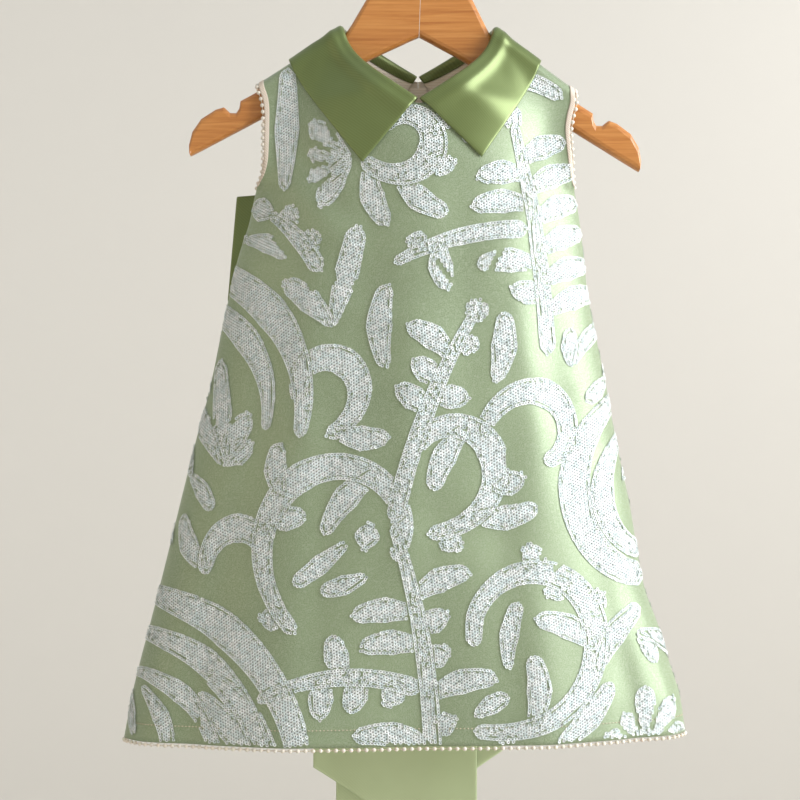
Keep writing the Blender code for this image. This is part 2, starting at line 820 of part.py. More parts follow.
def build_bow_loop(name, hand, reach, knot_half, tip_half, droop, slant):
    """A loop of the sash, gathered at the knot and open above and below."""
    knot_y = back_y(BOW_X, BOW_Z) + BOW_STAND_OFF + KNOT_DEPTH / 2
    middle = []
    for i in range(2 * LOOP_STEPS + 1):
        turn = math.pi * i / (2 * LOOP_STEPS)
        out = math.sin(turn) ** BOW_ROUND
        open_share = BOW_PINCH + (1 - BOW_PINCH) * math.sin(math.pi * min(out, 1.0) ** 0.9)
        spread = math.cos(turn) * open_share * BOW_FULLNESS
        half = knot_half + (tip_half - knot_half) * smooth(out * 1.15)
        band = []
        for j in range(LOOP_BANDS + 1):
            across = 2 * j / LOOP_BANDS - 1
            run = KNOT_WIDTH / 2 + SEAM_GAP + (reach - KNOT_WIDTH / 2) * out
            x = BOW_X + hand * (run - slant * out * (1 + across) / 2)
            pleat = BOW_PLEAT * math.cos(across * math.pi * BOW_PLEATS) * (1 - smooth(out * 1.3))
            z = BOW_Z + across * half - droop * out**1.5
            y = knot_y - BOW_SWEEP * out - spread + math.copysign(pleat, -spread) / 2
            band.append(np.array([x, y, z]))
        middle.append(band)
    sheet_around(name, np.array(middle), BOW_WALL, SATIN)


def build_knot():
    """The wrapped knot: a soft block, full in the middle and drawn in at both ends."""
    columns = 16
    rows = 9
    centre = np.array([BOW_X, back_y(BOW_X, BOW_Z) + BOW_STAND_OFF + KNOT_DEPTH / 2, BOW_Z])
    rings = []
    for i in range(rows):
        height = math.sin(math.pi * (i / (rows - 1) - 0.5))
        girth = KNOT_END + (1 - KNOT_END) * math.sqrt(1 - abs(height) ** KNOT_BULGE)
        ring = []
        for j in range(columns):
            angle = 2 * math.pi * j / columns
            across = math.copysign(abs(math.cos(angle)) ** KNOT_SQUARE, math.cos(angle))
            depth = math.copysign(abs(math.sin(angle)) ** KNOT_SQUARE, math.sin(angle))
            turn = (
                across * girth * KNOT_WIDTH / 2,
                depth * girth * KNOT_DEPTH / 2,
                height * KNOT_HEIGHT / 2,
            )
            ring.append(centre + np.array(turn))
        rings.append(ring)
    ringed_solid("bow_knot", rings, SATIN)


def build_tail(name, top_x, left_x, left_z, right_x, right_z, lift):
    """A sash tail, gathered under the knot, spreading down the back to a slanted cut."""
    top = BOW_Z - KNOT_HEIGHT / 2 - SASH_UNDER_KNOT
    hem = SHOULDER_Z - HEM_DROP
    middle = []
    for down in np.linspace(0, 1, SASH_ROWS):
        line = []
        for across in np.linspace(-1, 1, SASH_COLUMNS):
            end_x = left_x + (right_x - left_x) * (across + 1) / 2
            end_z = left_z + (right_z - left_z) * (across + 1) / 2
            z = top + (end_z - top) * down
            flare = smooth((top - z) / SASH_FLARE_DROP) ** 0.8
            narrow_x = top_x + across * SASH_TOP_HALF
            x = narrow_x + (end_x - narrow_x) * flare
            gather = SASH_FOLD * (1 - flare * 0.75) * math.cos(across * math.pi * SASH_FOLDS)
            clear = lift + BOW_WALL / 2 + SASH_FOLD_LIFT * (SASH_FOLD + gather)
            clear += SASH_BEHIND_KNOT * (1 - smooth(down * 6))
            y = back_y(x, max(z, hem)) + clear - SASH_INWARD * max(hem - z, 0.0)
            line.append(np.array([x, y, z]))
        middle.append(line)
    sheet_around(name, np.array(middle), BOW_WALL, SATIN)


# Hanger


def hanger_point(x, y, z):
    """A point of the upright hanger, tilted about its hook."""
    cosine = math.cos(HANGER_TILT)
    sine = math.sin(HANGER_TILT)
    return np.array([x * cosine + z * sine, y, z * cosine - x * sine])


def hanger_section(top, bottom):
    """A rounded bar's section between an upper and a lower edge point."""
    length = np.linalg.norm(top - bottom)
    up = (top - bottom) / length
    half = HANGER_THICKNESS / 2
    round_up = min(HANGER_EDGE_ROUND, length * 0.42)
    section = []
    for corner_y, corner_up in ((1, 1), (-1, 1), (-1, -1), (1, -1)):
        for i in range(4):
            share = i / 3 if corner_y * corner_up > 0 else 1 - i / 3
            angle = share * math.pi / 2
            y = corner_y * (half - HANGER_EDGE_ROUND + HANGER_EDGE_ROUND * math.cos(angle))
            along = length - round_up + round_up * math.sin(angle)
            if corner_up < 0:
                along = length - along
            place = bottom + up * along
            section.append((place[0], y, place[1]))
    return section


def build_hanger_half(name, hand):
    rings = []
    for top_x, top_z_, bottom_x, bottom_z in HANGER_OUTLINE:
        shift = SEAM_GAP / 2
        top = np.array([hand * (top_x + shift), top_z_])
        bottom = np.array([hand * (bottom_x + shift), bottom_z])
        rings.append([hanger_point(*place) for place in hanger_section(top, bottom)])
    ringed_solid(name, rings, WOOD)


def build_hook():
    neck_top = HANGER_OUTLINE[0][1]
    base = neck_top + SEAM_GAP
    collar_top = base + FERRULE_HEIGHT
    rings = []
    for z, radius in ((base, FERRULE_RADIUS), (collar_top, FERRULE_RADIUS * FERRULE_TAPER)):
        turns = [2 * math.pi * i / FERRULE_SIDES for i in range(FERRULE_SIDES)]
        rings.append([hanger_point(radius * math.cos(a), radius * math.sin(a), z) for a in turns])
    ringed_solid("hook_ferrule", rings, STEEL)

    wire = HOOK_RADIUS + HOOK_WIRE_RADIUS
    centre = np.array([0.0, -HOOK_RADIUS])
    bend = centre + wire * np.array([math.cos(HOOK_START), math.sin(HOOK_START)])
    into = np.array([-math.sin(HOOK_START), math.cos(HOOK_START)])
    stem = np.array([0.0, collar_top + SEAM_GAP])
    controls = [stem, stem + np.array([0, HOOK_STEM]), bend - into * HOOK_SWAY, bend]
    line = []
    for i in range(HOOK_STEM_STEPS):
        t = i / HOOK_STEM_STEPS
        blend = [(1 - t) ** 3, 3 * t * (1 - t) ** 2, 3 * t * t * (1 - t), t**3]
        line.append(sum(weight * control for weight, control in zip(blend, controls)))
    for i in range(HOOK_BEND_STEPS + 1):
        angle = HOOK_START + (HOOK_END - HOOK_START) * i / HOOK_BEND_STEPS
        line.append(centre + wire * np.array([math.cos(angle), math.sin(angle)]))
    tube("hanger_hook", [hanger_point(x, 0, z) for x, z in line], HOOK_WIRE_RADIUS, STEEL)


def build():
    faces, inner = build_panels()
    for hand, word in ((-1, "left"), (1, "right")):
        pairs = build_collar_half("collar_" + word, hand)
        build_back_lining("neck_lining_" + word, pairs)
        build_hanger_half("hanger_" + word, hand)
    build_placket()
    build_button(NECK_CENTRE_X + BUTTON_FROM_MIDDLE, BACK_NECK_Z - BUTTON_DROP)
    build_edging(faces, inner)
    for row in BOW_LOOPS:
        build_bow_loop(*row)
    build_knot()
    for row in SASH_TAILS:
        build_tail(*row)
    build_hook()


build()
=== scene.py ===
import math

import bpy
import numpy as np
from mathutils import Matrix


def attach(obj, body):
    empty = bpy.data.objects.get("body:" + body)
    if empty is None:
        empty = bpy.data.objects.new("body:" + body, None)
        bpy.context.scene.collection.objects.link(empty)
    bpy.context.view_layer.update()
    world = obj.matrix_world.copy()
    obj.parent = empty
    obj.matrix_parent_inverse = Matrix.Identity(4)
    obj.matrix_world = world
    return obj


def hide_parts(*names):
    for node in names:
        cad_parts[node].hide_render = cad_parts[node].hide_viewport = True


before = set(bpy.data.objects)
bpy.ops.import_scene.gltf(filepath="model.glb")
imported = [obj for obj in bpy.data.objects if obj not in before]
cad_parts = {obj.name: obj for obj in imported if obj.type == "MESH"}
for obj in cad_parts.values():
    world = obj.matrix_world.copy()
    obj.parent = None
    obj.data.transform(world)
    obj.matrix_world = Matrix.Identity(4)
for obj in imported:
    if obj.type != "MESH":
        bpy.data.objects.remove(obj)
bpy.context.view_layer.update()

MM = 0.001
PER_METRE = 1000  # a texture's scale is this over the size of its marks in mm
WAVE_SPAN = 6.3   # a wave texture has one band in this span of its scaled place


# Studio: a round pale room with a matt floor, a broad window light from the front right,
# a weak warm fill from the left, and a camera level with the middle of the dress. The lens
# shows 0.74 mm of the dress in each 800th of the picture.

VIEW_DISTANCE = 1500.0
VIEW_X = -18.5
VIEW_Z = -395.0
PICTURE_SCALE = 0.74
PICTURE_SIDE = 800
SENSOR = 36.0
ROOM_RADIUS = 2400.0
FLOOR_Z = -1250.0
ROOM_TOP = 1700.0


def linear(code):
    """A colour written as sRGB hex, as the linear values that the shader takes."""
    channels = [int(code[i:i + 2], 16) / 255 for i in (1, 3, 5)]
    curve = [c / 12.92 if c <= 0.04045 else ((c + 0.055) / 1.055) ** 2.4 for c in channels]
    return (*curve, 1.0)


def add(tree, kind, inputs=None, **settings):
    """A node with its settings; each input is a value or another node's output."""
    made = tree.nodes.new(kind)
    for name, value in settings.items():
        setattr(made, name, value)
    for name, value in (inputs or {}).items():
        if isinstance(value, bpy.types.NodeSocket):
            tree.links.new(value, made.inputs[name])
        else:
            made.inputs[name].default_value = value
    return made


def blank_material(name, **shader_values):
    """A material with its Principled shader set from words such as Base_Color."""
    made = bpy.data.materials.new(name)
    made.use_nodes = True
    shader = made.node_tree.nodes["Principled BSDF"]
    for word, value in shader_values.items():
        shader.inputs[word.replace("_", " ")].default_value = value
    return made, made.node_tree, shader


def mesh_piece(name, points, faces, materials, smooth=True):
    """A piece from points in millimetres."""
    mesh = bpy.data.meshes.new(name)
    mesh.from_pydata((np.asarray(points) * MM).tolist(), [], faces)
    for material in materials:
        mesh.materials.append(material)
    if smooth:
        mesh.shade_smooth()
    made = bpy.data.objects.new(name, mesh)
    bpy.context.scene.collection.objects.link(made)
    return made


def in_frame(piece, node_name=None):
    """Ties a piece to the part's body and hides the CAD node it stands for."""
    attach(piece, "root")
    if node_name:
        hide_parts(node_name)


def room_paint():
    """Matt wall paint: rough, with no gloss."""
    made, tree, shader = blank_material("matt_wall_paint", Roughness=0.95)
    shader.inputs["Specular IOR Level"].default_value = 0.1
    shader.inputs["Base Color"].default_value = linear("#d5d2cb")
    return made


def build_room():
    """A round wall and a level floor, both out of the part's way."""
    sides = 96
    points = []
    for z in (FLOOR_Z, ROOM_TOP):
        for i in range(sides):
            angle = 2 * math.pi * i / sides
            points.append((ROOM_RADIUS * math.cos(angle), ROOM_RADIUS * math.sin(angle), z))
    wall = [(i, (i + 1) % sides + sides, i + sides) for i in range(sides)]
    wall += [(i, (i + 1) % sides, (i + 1) % sides + sides) for i in range(sides)]
    paint = room_paint()
    mesh_piece("room_wall", points, wall, [paint])
    mesh_piece("room_floor", points[:sides], [tuple(range(sides))], [paint], smooth=False)


def area_light(name, place, target, size, power, colour):
    """A rectangular lamp at a place, aimed at a target; its size is in metres."""
    lamp = bpy.data.lights.new(name, "AREA")
    lamp.shape = "RECTANGLE"
    lamp.size, lamp.size_y = size
    lamp.energy = power
    lamp.color = linear(colour)[:3]
    made = bpy.data.objects.new(name, lamp)
    bpy.context.scene.collection.objects.link(made)
    made.location = np.array(place) * MM
    aim = np.array(target) - np.array(place)
    flat = math.hypot(aim[0], aim[1])
    made.rotation_euler = (math.atan2(flat, -aim[2]), 0, math.atan2(-aim[0], aim[1]))
    return made


build_room()
area_light("window", (1650, -650, 200), (-10, 0, -400), (1.2, 1.6), 58, "#fafbff")
area_light("left_fill", (-1500, -900, -200), (-40, 0, -420), (0.9, 1.4), 2, "#ffdcb8")
area_light("wall_wash", (1300, 700, 700), (1400, 1900, -300), (0.8, 0.8), 22, "#fbfcff")

world = bpy.data.worlds.new("pale_room_air")
world.use_nodes = True
world.node_tree.nodes["Background"].inputs["Color"].default_value = linear("#eef1f2")
world.node_tree.nodes["Background"].inputs["Strength"].default_value = 0.68
bpy.context.scene.world = world
bpy.context.scene.view_settings.view_transform = "Standard"

lens = bpy.data.cameras.new("camera")
lens.sensor_width = SENSOR
lens.lens = VIEW_DISTANCE / PICTURE_SCALE / PICTURE_SIDE * SENSOR
camera = bpy.data.objects.new("camera", lens)
bpy.context.scene.collection.objects.link(camera)
camera.location = (VIEW_X * MM, -VIEW_DISTANCE * MM, VIEW_Z * MM)
camera.rotation_euler = (math.pi / 2, 0, 0)
bpy.context.scene.camera = camera


# Body cloth: satin with a sheer net over it and a cream lining inside, cut as one front and
# two backs, sewn at the sides and shoulders and hung from the hanger's arms. Below, its
# outer face is one formula: edges, depth, soft flutes, and the creases that the weight pulls.

FRONT = -1
BACK = 1
HANDS = ((-1, "left"), (1, "right"))
SEAM_GAP = 0.3
CLOTH_THICKNESS = 0.9
SHOULDER_Z = -161.9
UNDERARM_DROP = 77.7
HEM_DROP = 481.7
HEM_RISE = 2.3
HEM_TILT = 0.011
NECK_CENTRE_X = -4.9
HEM_CENTRE_X = -15.0
NECK_SIDE = {-1: (-64.0, -122.9), 1: (54.0, -123.9)}
SHOULDER_SLOPE = {-1: 0.643, 1: -0.735}
RIDGE_DEPTH = 9.0
RIDGE_DROP = 7.5
RIDGE_REACH = 12.9
DRAPE_DROP = 70.0
ARMHOLE_HALF_DEPTH = 16.0
ARMHOLE_MIDDLE_DROP = 40.0
ARMHOLE_SPREAD = 12
NECK_MIDDLE_Z = {FRONT: -182.2, BACK: -156.6}
NECK_ROUND = {FRONT: 40.0, BACK: 8.0}
NECK_POINT_ROUND = 4.0
NECK_POINT_SHARE = 0.4

EDGES = [
    # drop, left x, right x
    (-45.0, -122.4, 109.7),
    (0.0, -122.4, 109.7),
    (14.0, -118.5, 110.0),
    (24.0, -117.6, 107.6),
    (36.0, -117.6, 105.8),
    (55.0, -117.8, 107.2),
    (66.0, -119.4, 108.2),
    (77.7, -124.6, 110.4),
    (102.9, -130.2, 114.6),
    (125.8, -137.6, 117.2),
    (156.1, -144.8, 120.6),
    (192.4, -152.5, 127.7),
    (225.7, -159.4, 134.6),
    (259.7, -168.6, 140.6),
    (312.3, -181.8, 151.7),
    (351.5, -191.4, 158.2),
    (375.0, -197.3, 163.2),
    (397.0, -203.0, 171.6),
    (427.7, -211.1, 181.0),
    (451.4, -216.8, 188.4),
    (481.7, -222.5, 193.0),
]
DEPTHS = [
    # drop, front depth, back depth, flatness
    (-45.0, 30.0, 25.0, 0.80),
    (18.0, 37.0, 31.0, 0.80),
    (77.7, 43.0, 37.0, 0.70),
    (156.0, 47.0, 42.0, 0.62),
    (260.0, 55.0, 50.0, 0.56),
    (372.0, 61.0, 58.0, 0.53),
    (481.7, 62.5, 64.0, 0.52),
]
FLUTES = {
    # place across, width, depth at the hem, drop where it starts
    FRONT: [
        (-0.76, 0.07, 4.0, 210.0),
        (-0.55, 0.08, -4.5, 240.0),
        (-0.27, 0.10, 5.0, 260.0),
        (0.03, 0.10, -4.5, 250.0),
        (0.33, 0.09, 5.0, 230.0),
        (0.60, 0.07, -5.0, 300.0),
        (0.80, 0.06, 5.0, 330.0),
    ],
    BACK: [
        (-0.74, 0.08, 5.0, 190.0),
        (-0.46, 0.09, -5.0, 220.0),
        (-0.20, 0.08, 4.0, 250.0),
        (0.20, 0.09, 4.5, 240.0),
        (0.46, 0.08, -5.0, 200.0),
        (0.76, 0.08, 4.0, 230.0),
    ],
}
FLUTE_GROWTH = 1.4
FLUTE_EDGE_FADE = 6
CREASE_FADE = 0.3
CREASES = {
    # x and z of one end, x and z of the other, half width, depth (negative is a trough)
    FRONT: [
        (-104, -186, -60, -262, 9, -1.4),
        (-112, -232, -50, -285, 12, 1.5),
        (92, -190, 52, -262, 9, -1.4),
        (100, -236, 45, -290, 12, 1.5),
        (-38, -225, -46, -400, 15, -1.5),
        (-78, -300, -96, -470, 14, 1.6),
        (22, -230, 34, -420, 16, -1.5),
        (66, -300, 84, -470, 14, 1.6),
        (-108, -330, -150, -560, 15, -1.9),
        (86, -330, 128, -540, 14, -1.9),
        (-10, -330, -14, -560, 14, 1.8),
        (-66, -420, -84, -600, 15, -1.7),
        (52, -440, 64, -610, 15, -1.6),
        (-60, -330, 20, -352, 13, 1.3),
        (-20, -470, 70, -500, 15, -1.2),
        (-30, -206, 40, -214, 10, 1.1),
        (-110, -400, -70, -430, 12, 1.2),
        (60, -380, 112, -400, 12, -1.2),
    ],
    BACK: [
        (-100, -190, -40, -268, 10, -1.5),
        (90, -190, 22, -268, 10, -1.5),
        (-60, -300, -84, -520, 13, -1.7),
        (48, -300, 76, -520, 13, 1.7),
        (-110, -300, -140, -560, 14, 1.7),
        (92, -310, 118, -560, 14, -1.7),
        (-20, -320, -34, -540, 14, 1.5),
        (20, -330, 34, -560, 14, -1.5),
        (-90, -420, -40, -440, 12, 1.2),
    ],
}


def curve_through(rows, column):
    """A smooth curve through one column of a table, against the table's first column."""
    places = np.array([row[0] for row in rows])
    values = np.array([row[column] for row in rows])
    steps = np.diff(values) / np.diff(places)
    slopes = np.zeros(len(values))
    slopes[0] = steps[0]
    slopes[-1] = steps[-1]
    for i in range(1, len(values) - 1):
        if steps[i - 1] * steps[i] > 0:
            slopes[i] = 2 * steps[i - 1] * steps[i] / (steps[i - 1] + steps[i])

    def value(place):
        place = min(max(place, places[0]), places[-1])
        i = min(int(np.searchsorted(places, place, side="right")) - 1, len(places) - 2)
        span = places[i + 1] - places[i]
        t = (place - places[i]) / span
        return (
            values[i] * (1 + 2 * t) * (1 - t) ** 2
            + slopes[i] * span * t * (1 - t) ** 2
            + values[i + 1] * t * t * (3 - 2 * t)
            + slopes[i + 1] * span * t * t * (t - 1)
        )

    return value


def smooth(t):
    """An eased rise from 0 to 1."""
    t = min(max(t, 0.0), 1.0)
    return t * t * (3 - 2 * t)


edge_x = {-1: curve_through(EDGES, 1), 1: curve_through(EDGES, 2)}
depth_at = {FRONT: curve_through(DEPTHS, 1), BACK: curve_through(DEPTHS, 2)}
flatness = curve_through(DEPTHS, 3)


def centre_x(drop):
    """The body's middle at a drop below the shoulder."""
    return NECK_CENTRE_X + (HEM_CENTRE_X - NECK_CENTRE_X) * smooth(drop / HEM_DROP)


def x_across(u, drop):
    """The x of a place across the body, from -1 at the left edge to 1 at the right one."""
    middle = centre_x(drop)
    edge = edge_x[-1 if u < 0 else 1](drop)
    return middle + abs(edge - middle) * math.sin(u * math.pi / 2)


def u_across(x, drop):
    """The reverse of x_across."""
    middle = centre_x(drop)
    edge = edge_x[-1 if x < middle else 1](drop)
    share = min(abs(x - middle) / abs(edge - middle), 1.0)
    return math.copysign(math.asin(share) * 2 / math.pi, x - middle)


def ridge_z(x):
    """Height of the shoulder ridge, which runs on past the neckline to the middle."""
    hand = -1 if x < NECK_CENTRE_X else 1
    corner_x, corner_z = NECK_SIDE[hand]
    return corner_z + SHOULDER_SLOPE[hand] * (x - corner_x)


def creases(x, z, side):
    """Soft uneven troughs and ridges, each along its own line."""
    total = 0.0
    for x0, z0, x1, z1, half, depth in CREASES[side]:
        length = math.hypot(x1 - x0, z1 - z0)
        along = ((x - x0) * (x1 - x0) + (z - z0) * (z1 - z0)) / length**2
        if -CREASE_FADE < along < 1 + CREASE_FADE:
            off = abs((x - x0) * (z1 - z0) - (z - z0) * (x1 - x0)) / length
            swell = smooth((along + CREASE_FADE) / (2 * CREASE_FADE))
            swell *= smooth((1 + CREASE_FADE - along) / (2 * CREASE_FADE))
            total += depth * swell * math.exp(-((off / half) ** 2))
    return total


def surface(x, z, side):
    """The outer face of the body at x and z, on its front or back."""
    drop = SHOULDER_Z - z
    u = u_across(x, drop)
    across = abs(math.sin(u * math.pi / 2))
    full = depth_at[side](drop) * math.cos(u * math.pi / 2) ** (2 * flatness(drop))
    below = (drop - ARMHOLE_MIDDLE_DROP) / (UNDERARM_DROP - ARMHOLE_MIDDLE_DROP)
    if below < 1:
        gape = ARMHOLE_HALF_DEPTH * math.sqrt(1 - max(below, 0.0) ** 2)
        full += gape * across**ARMHOLE_SPREAD
    fluted = creases(x, z, side)
    for place, width, depth, start in FLUTES[side]:
        grown = smooth((drop - start) / (HEM_DROP - start)) ** FLUTE_GROWTH
        fluted += depth * grown * math.exp(-(((u - place) / width) ** 2))
    full += fluted * (1 - across**FLUTE_EDGE_FADE)
    under = max(ridge_z(x) - z, 0.0)
    draped = RIDGE_DEPTH + (full - RIDGE_DEPTH) * smooth(under / DRAPE_DROP)
    rounding = math.sqrt(1 - (1 - min(under / RIDGE_DROP, 1.0)) ** 2)
    return np.array([x, side * rounding * draped, z])


def under_ridge(reach):
    """How far below the ridge a place is that lies this far from it along the cloth."""
    if abs(reach) < RIDGE_REACH:
        return RIDGE_DROP * (1 - math.cos(abs(reach) / RIDGE_REACH * math.pi / 2))
    return RIDGE_DROP + abs(reach) - RIDGE_REACH


def over_shoulder(x, reach):
    """The same face by x and the distance from the ridge: + in front, - behind."""
    return surface(x, ridge_z(x) - under_ridge(reach), FRONT if reach > 0 else BACK)


def normal_over_shoulder(x, reach):
    """The face's outward normal, from points a step to each side."""
    step = 0.4
    along_x = over_shoulder(x + step, reach) - over_shoulder(x - step, reach)
    along_reach = over_shoulder(x, reach + step) - over_shoulder(x, reach - step)
    facing = np.cross(along_reach, along_x)
    facing /= np.linalg.norm(facing)
    outward = np.array([0.0, -1.0, 1.0]) if reach > 0 else np.array([0.0, 1.0, 1.0])
    return facing if facing @ outward > 0 else -facing


class Neck:
    """The neckline of one side, left or right, on the front or the back."""

    def __init__(self, hand, side):
        self.hand = hand
        self.corner = NECK_SIDE[hand]
        self.round = NECK_ROUND[side]
        beside_middle = NECK_CENTRE_X + hand * 0.01
        under = ridge_z(beside_middle) - NECK_MIDDLE_Z[side]
        self.middle_reach = under - RIDGE_DROP + RIDGE_REACH
        run = math.hypot(self.middle_reach, self.round) - self.round
        self.lean = (NECK_CENTRE_X - self.corner[0]) / run

    def x_at(self, reach):
        """The neckline's x at a distance from the ridge."""
        return self.corner[0] + self.lean * (math.hypot(reach, self.round) - self.round)

    def z_at(self, x):
        """The neckline's height at x, rounded where the two sides meet."""
        from_middle = math.hypot(x - NECK_CENTRE_X, NECK_POINT_ROUND)
        from_middle -= NECK_POINT_ROUND * NECK_POINT_SHARE
        x = NECK_CENTRE_X + self.hand * from_middle
        run = max((x - self.corner[0]) / self.lean, 0.0) + self.round
        reach = math.sqrt(max(run**2 - self.round**2, 0.0))
        return ridge_z(x) - under_ridge(reach)


NECKS = {(hand, side): Neck(hand, side) for hand in (-1, 1) for side in (FRONT, BACK)}


def top_z(x, side):
    """The top of a panel at x: its neckline, or the shoulder ridge outside it."""
    if NECK_SIDE[-1][0] < x < NECK_SIDE[1][0]:
        return min(NECKS[-1 if x < NECK_CENTRE_X else 1, side].z_at(x), ridge_z(x))
    return ridge_z(x)


def hem_z(u):
    """Height of the hem, which rises a little to the right."""
    return SHOULDER_Z - HEM_DROP + HEM_RISE + HEM_TILT * x_across(u, HEM_DROP)


def grid_normals(grid):
    """Unit normals at a grid's points, all on one side of it."""
    normals = np.cross(np.gradient(grid, axis=0), np.gradient(grid, axis=1))
    return normals / np.linalg.norm(normals, axis=2, keepdims=True)


def outward_normals(grid, outward):
    """A grid's normals on the side of a given direction."""
    normals = grid_normals(grid)
    return -normals if (normals * outward).sum() < 0 else normals


def run_along(line):
    """The distance along a line at each of its points."""
    return np.concatenate([[0], np.cumsum(np.linalg.norm(np.diff(line, axis=0), axis=1))])


def at_marks(line, run, marks):
    """Points of a line at marks on its run."""
    return np.stack([np.interp(marks, run, column) for column in line.T], axis=-1)


def walled_faces(grid, normals, at):
    """Faces of a closed sheet: a grid, its copy behind it and a rim between, turned to face
    out by the normal at one place, which is that far in from the corner."""
    rows, columns = grid.shape[:2]
    row, column = np.meshgrid(np.arange(rows - 1), np.arange(columns - 1), indexing="ij")
    a = (row * columns + column).ravel()
    outer = np.stack([a, a + 1, a + columns + 1, a + columns], axis=1)
    behind = rows * columns
    rim = [*range(columns)]
    rim += [row * columns + columns - 1 for row in range(1, rows)]
    rim += [(rows - 1) * columns + column for column in range(columns - 2, -1, -1)]
    rim += [row * columns for row in range(rows - 2, 0, -1)]
    sides = [(b, a, a + behind, b + behind) for a, b in zip(rim, rim[1:] + rim[:1])]
    faces = [*outer.tolist(), *(outer[:, ::-1] + behind).tolist(), *sides]
    first = grid[at, at + 1] - grid[at, at]
    second = grid[at + 1, at] - grid[at, at]
    if np.cross(first, second) @ normals[at, at] < 0:
        faces = [tuple(reversed(corners)) for corners in faces]
    return faces


def shell_piece(name, face, wall, materials, outward):
    """A thin closed shell: an outer face, an inner one a wall away, and a rim between."""
    rows, columns = face.shape[:2]
    normals = outward_normals(face, outward)
    inner = face - normals * wall
    faces = walled_faces(face, normals, 0)
    points = np.concatenate([face.reshape(-1, 3), inner.reshape(-1, 3)])
    made = mesh_piece(name, points, faces, materials)
    if len(materials) > 1:
        side = (rows - 1) * (columns - 1)
        kinds = np.zeros(len(faces), np.int32)
        kinds[side:2 * side] = 1
        made.data.polygons.foreach_set("material_index", kinds)
    return made


PANEL_COLUMNS = 151
PANEL_ROWS = 130
STRAP_TOP = 0.02
TOP_HALVINGS = 30
ROW_EASE = 0.10


def panel_grid(start, end, side):
    """The outer face of a panel as rows of points, hem first."""
    share = np.linspace(start, end, int((PANEL_COLUMNS - 1) * (end - start) / 2) + 1)
    columns = []
    for u in share:
        top = SHOULDER_Z
        for _ in range(TOP_HALVINGS):
            top = (top + top_z(x_across(u, SHOULDER_Z - top), side)) / 2
        hem = hem_z(u)
        run = np.linspace(0, 1, PANEL_ROWS)
        eased = run + ROW_EASE * np.sin(run * math.pi) * run
        heights = hem + (top - STRAP_TOP - hem) * np.minimum(eased, 1.0)
        heights[-1] = top - STRAP_TOP
        columns.append([surface(x_across(u, SHOULDER_Z - z), z, side) for z in heights])
    grid = np.array(columns).transpose(1, 0, 2)
    seam = np.abs(grid[:, :, 1]) < SEAM_GAP / 2
    grid[:, :, 1] = np.where(seam, side * SEAM_GAP / 2, grid[:, :, 1])
    return grid


# Sockets of a colour Mix node, by number because its names repeat
FACTOR = 0
FIRST = 6
SECOND = 7
MIXED = 2


def sheer_net_satin():
    """Duchess satin under a sheer tulle. The satin gives a low broad sheen that follows the
    folds, and the net lays a pale haze of fine mesh over it, 0.8 mm across, drawn at 1.1 mm
    because the real mesh is finer than the picture shows."""
    made, tree, shader = blank_material("sage_satin_under_tulle", Roughness=0.44, Metallic=0.28)
    shader.inputs["Sheen Weight"].default_value = 0.15
    shader.inputs["Sheen Roughness"].default_value = 0.4
    shader.inputs["Specular IOR Level"].default_value = 0.6
    place = add(tree, "ShaderNodeTexCoord").outputs["Object"]
    net = add(tree, "ShaderNodeTexVoronoi", {"Vector": place, "Scale": PER_METRE / 1.1,
                                             "Randomness": 1.0}, feature="DISTANCE_TO_EDGE")
    thread = add(tree, "ShaderNodeMapRange", {"Value": net.outputs["Distance"], "From Max": 0.2})
    cloud = add(tree, "ShaderNodeTexNoise", {"Vector": place, "Scale": 12.0, "Detail": 2.0})
    satin = add(tree, "ShaderNodeMix", {
        FACTOR: cloud.outputs["Fac"], FIRST: linear("#788a68"), SECOND: linear("#93a57f"),
    }, data_type="RGBA")
    veil = add(tree, "ShaderNodeMix", {
        FACTOR: thread.outputs["Result"], FIRST: linear("#a5b398"), SECOND: satin.outputs[MIXED],
    }, data_type="RGBA")
    tree.links.new(veil.outputs[MIXED], shader.inputs["Base Color"])
    bump = add(tree, "ShaderNodeBump", {
        "Height": thread.outputs["Result"], "Distance": 0.00006, "Strength": 0.3,
    }, invert=True)
    tree.links.new(bump.outputs["Normal"], shader.inputs["Normal"])
    return made


def cream_lining():
    """Cream cotton lawn: matt plain weave, threads 0.4 mm apart drawn at 1 mm to show."""
    made, tree, shader = blank_material("cream_cotton_lining", Roughness=0.8)
    place = add(tree, "ShaderNodeTexCoord").outputs["Object"]
    weave = add(tree, "ShaderNodeTexWave", {"Vector": place, "Scale": PER_METRE / 1.0 / WAVE_SPAN,
                                             "Distortion": 0.6, "Detail": 1.0},
                bands_direction="Z")
    tone = add(tree, "ShaderNodeMix", {
        FACTOR: weave.outputs["Fac"], FIRST: linear("#e9e0cf"), SECOND: linear("#f6efe2"),
    }, data_type="RGBA")
    tree.links.new(tone.outputs[MIXED], shader.inputs["Base Color"])
    bump = add(tree, "ShaderNodeBump", {"Height": weave.outputs["Fac"], "Distance": 0.00008})
    tree.links.new(bump.outputs["Normal"], shader.inputs["Normal"])
    return made


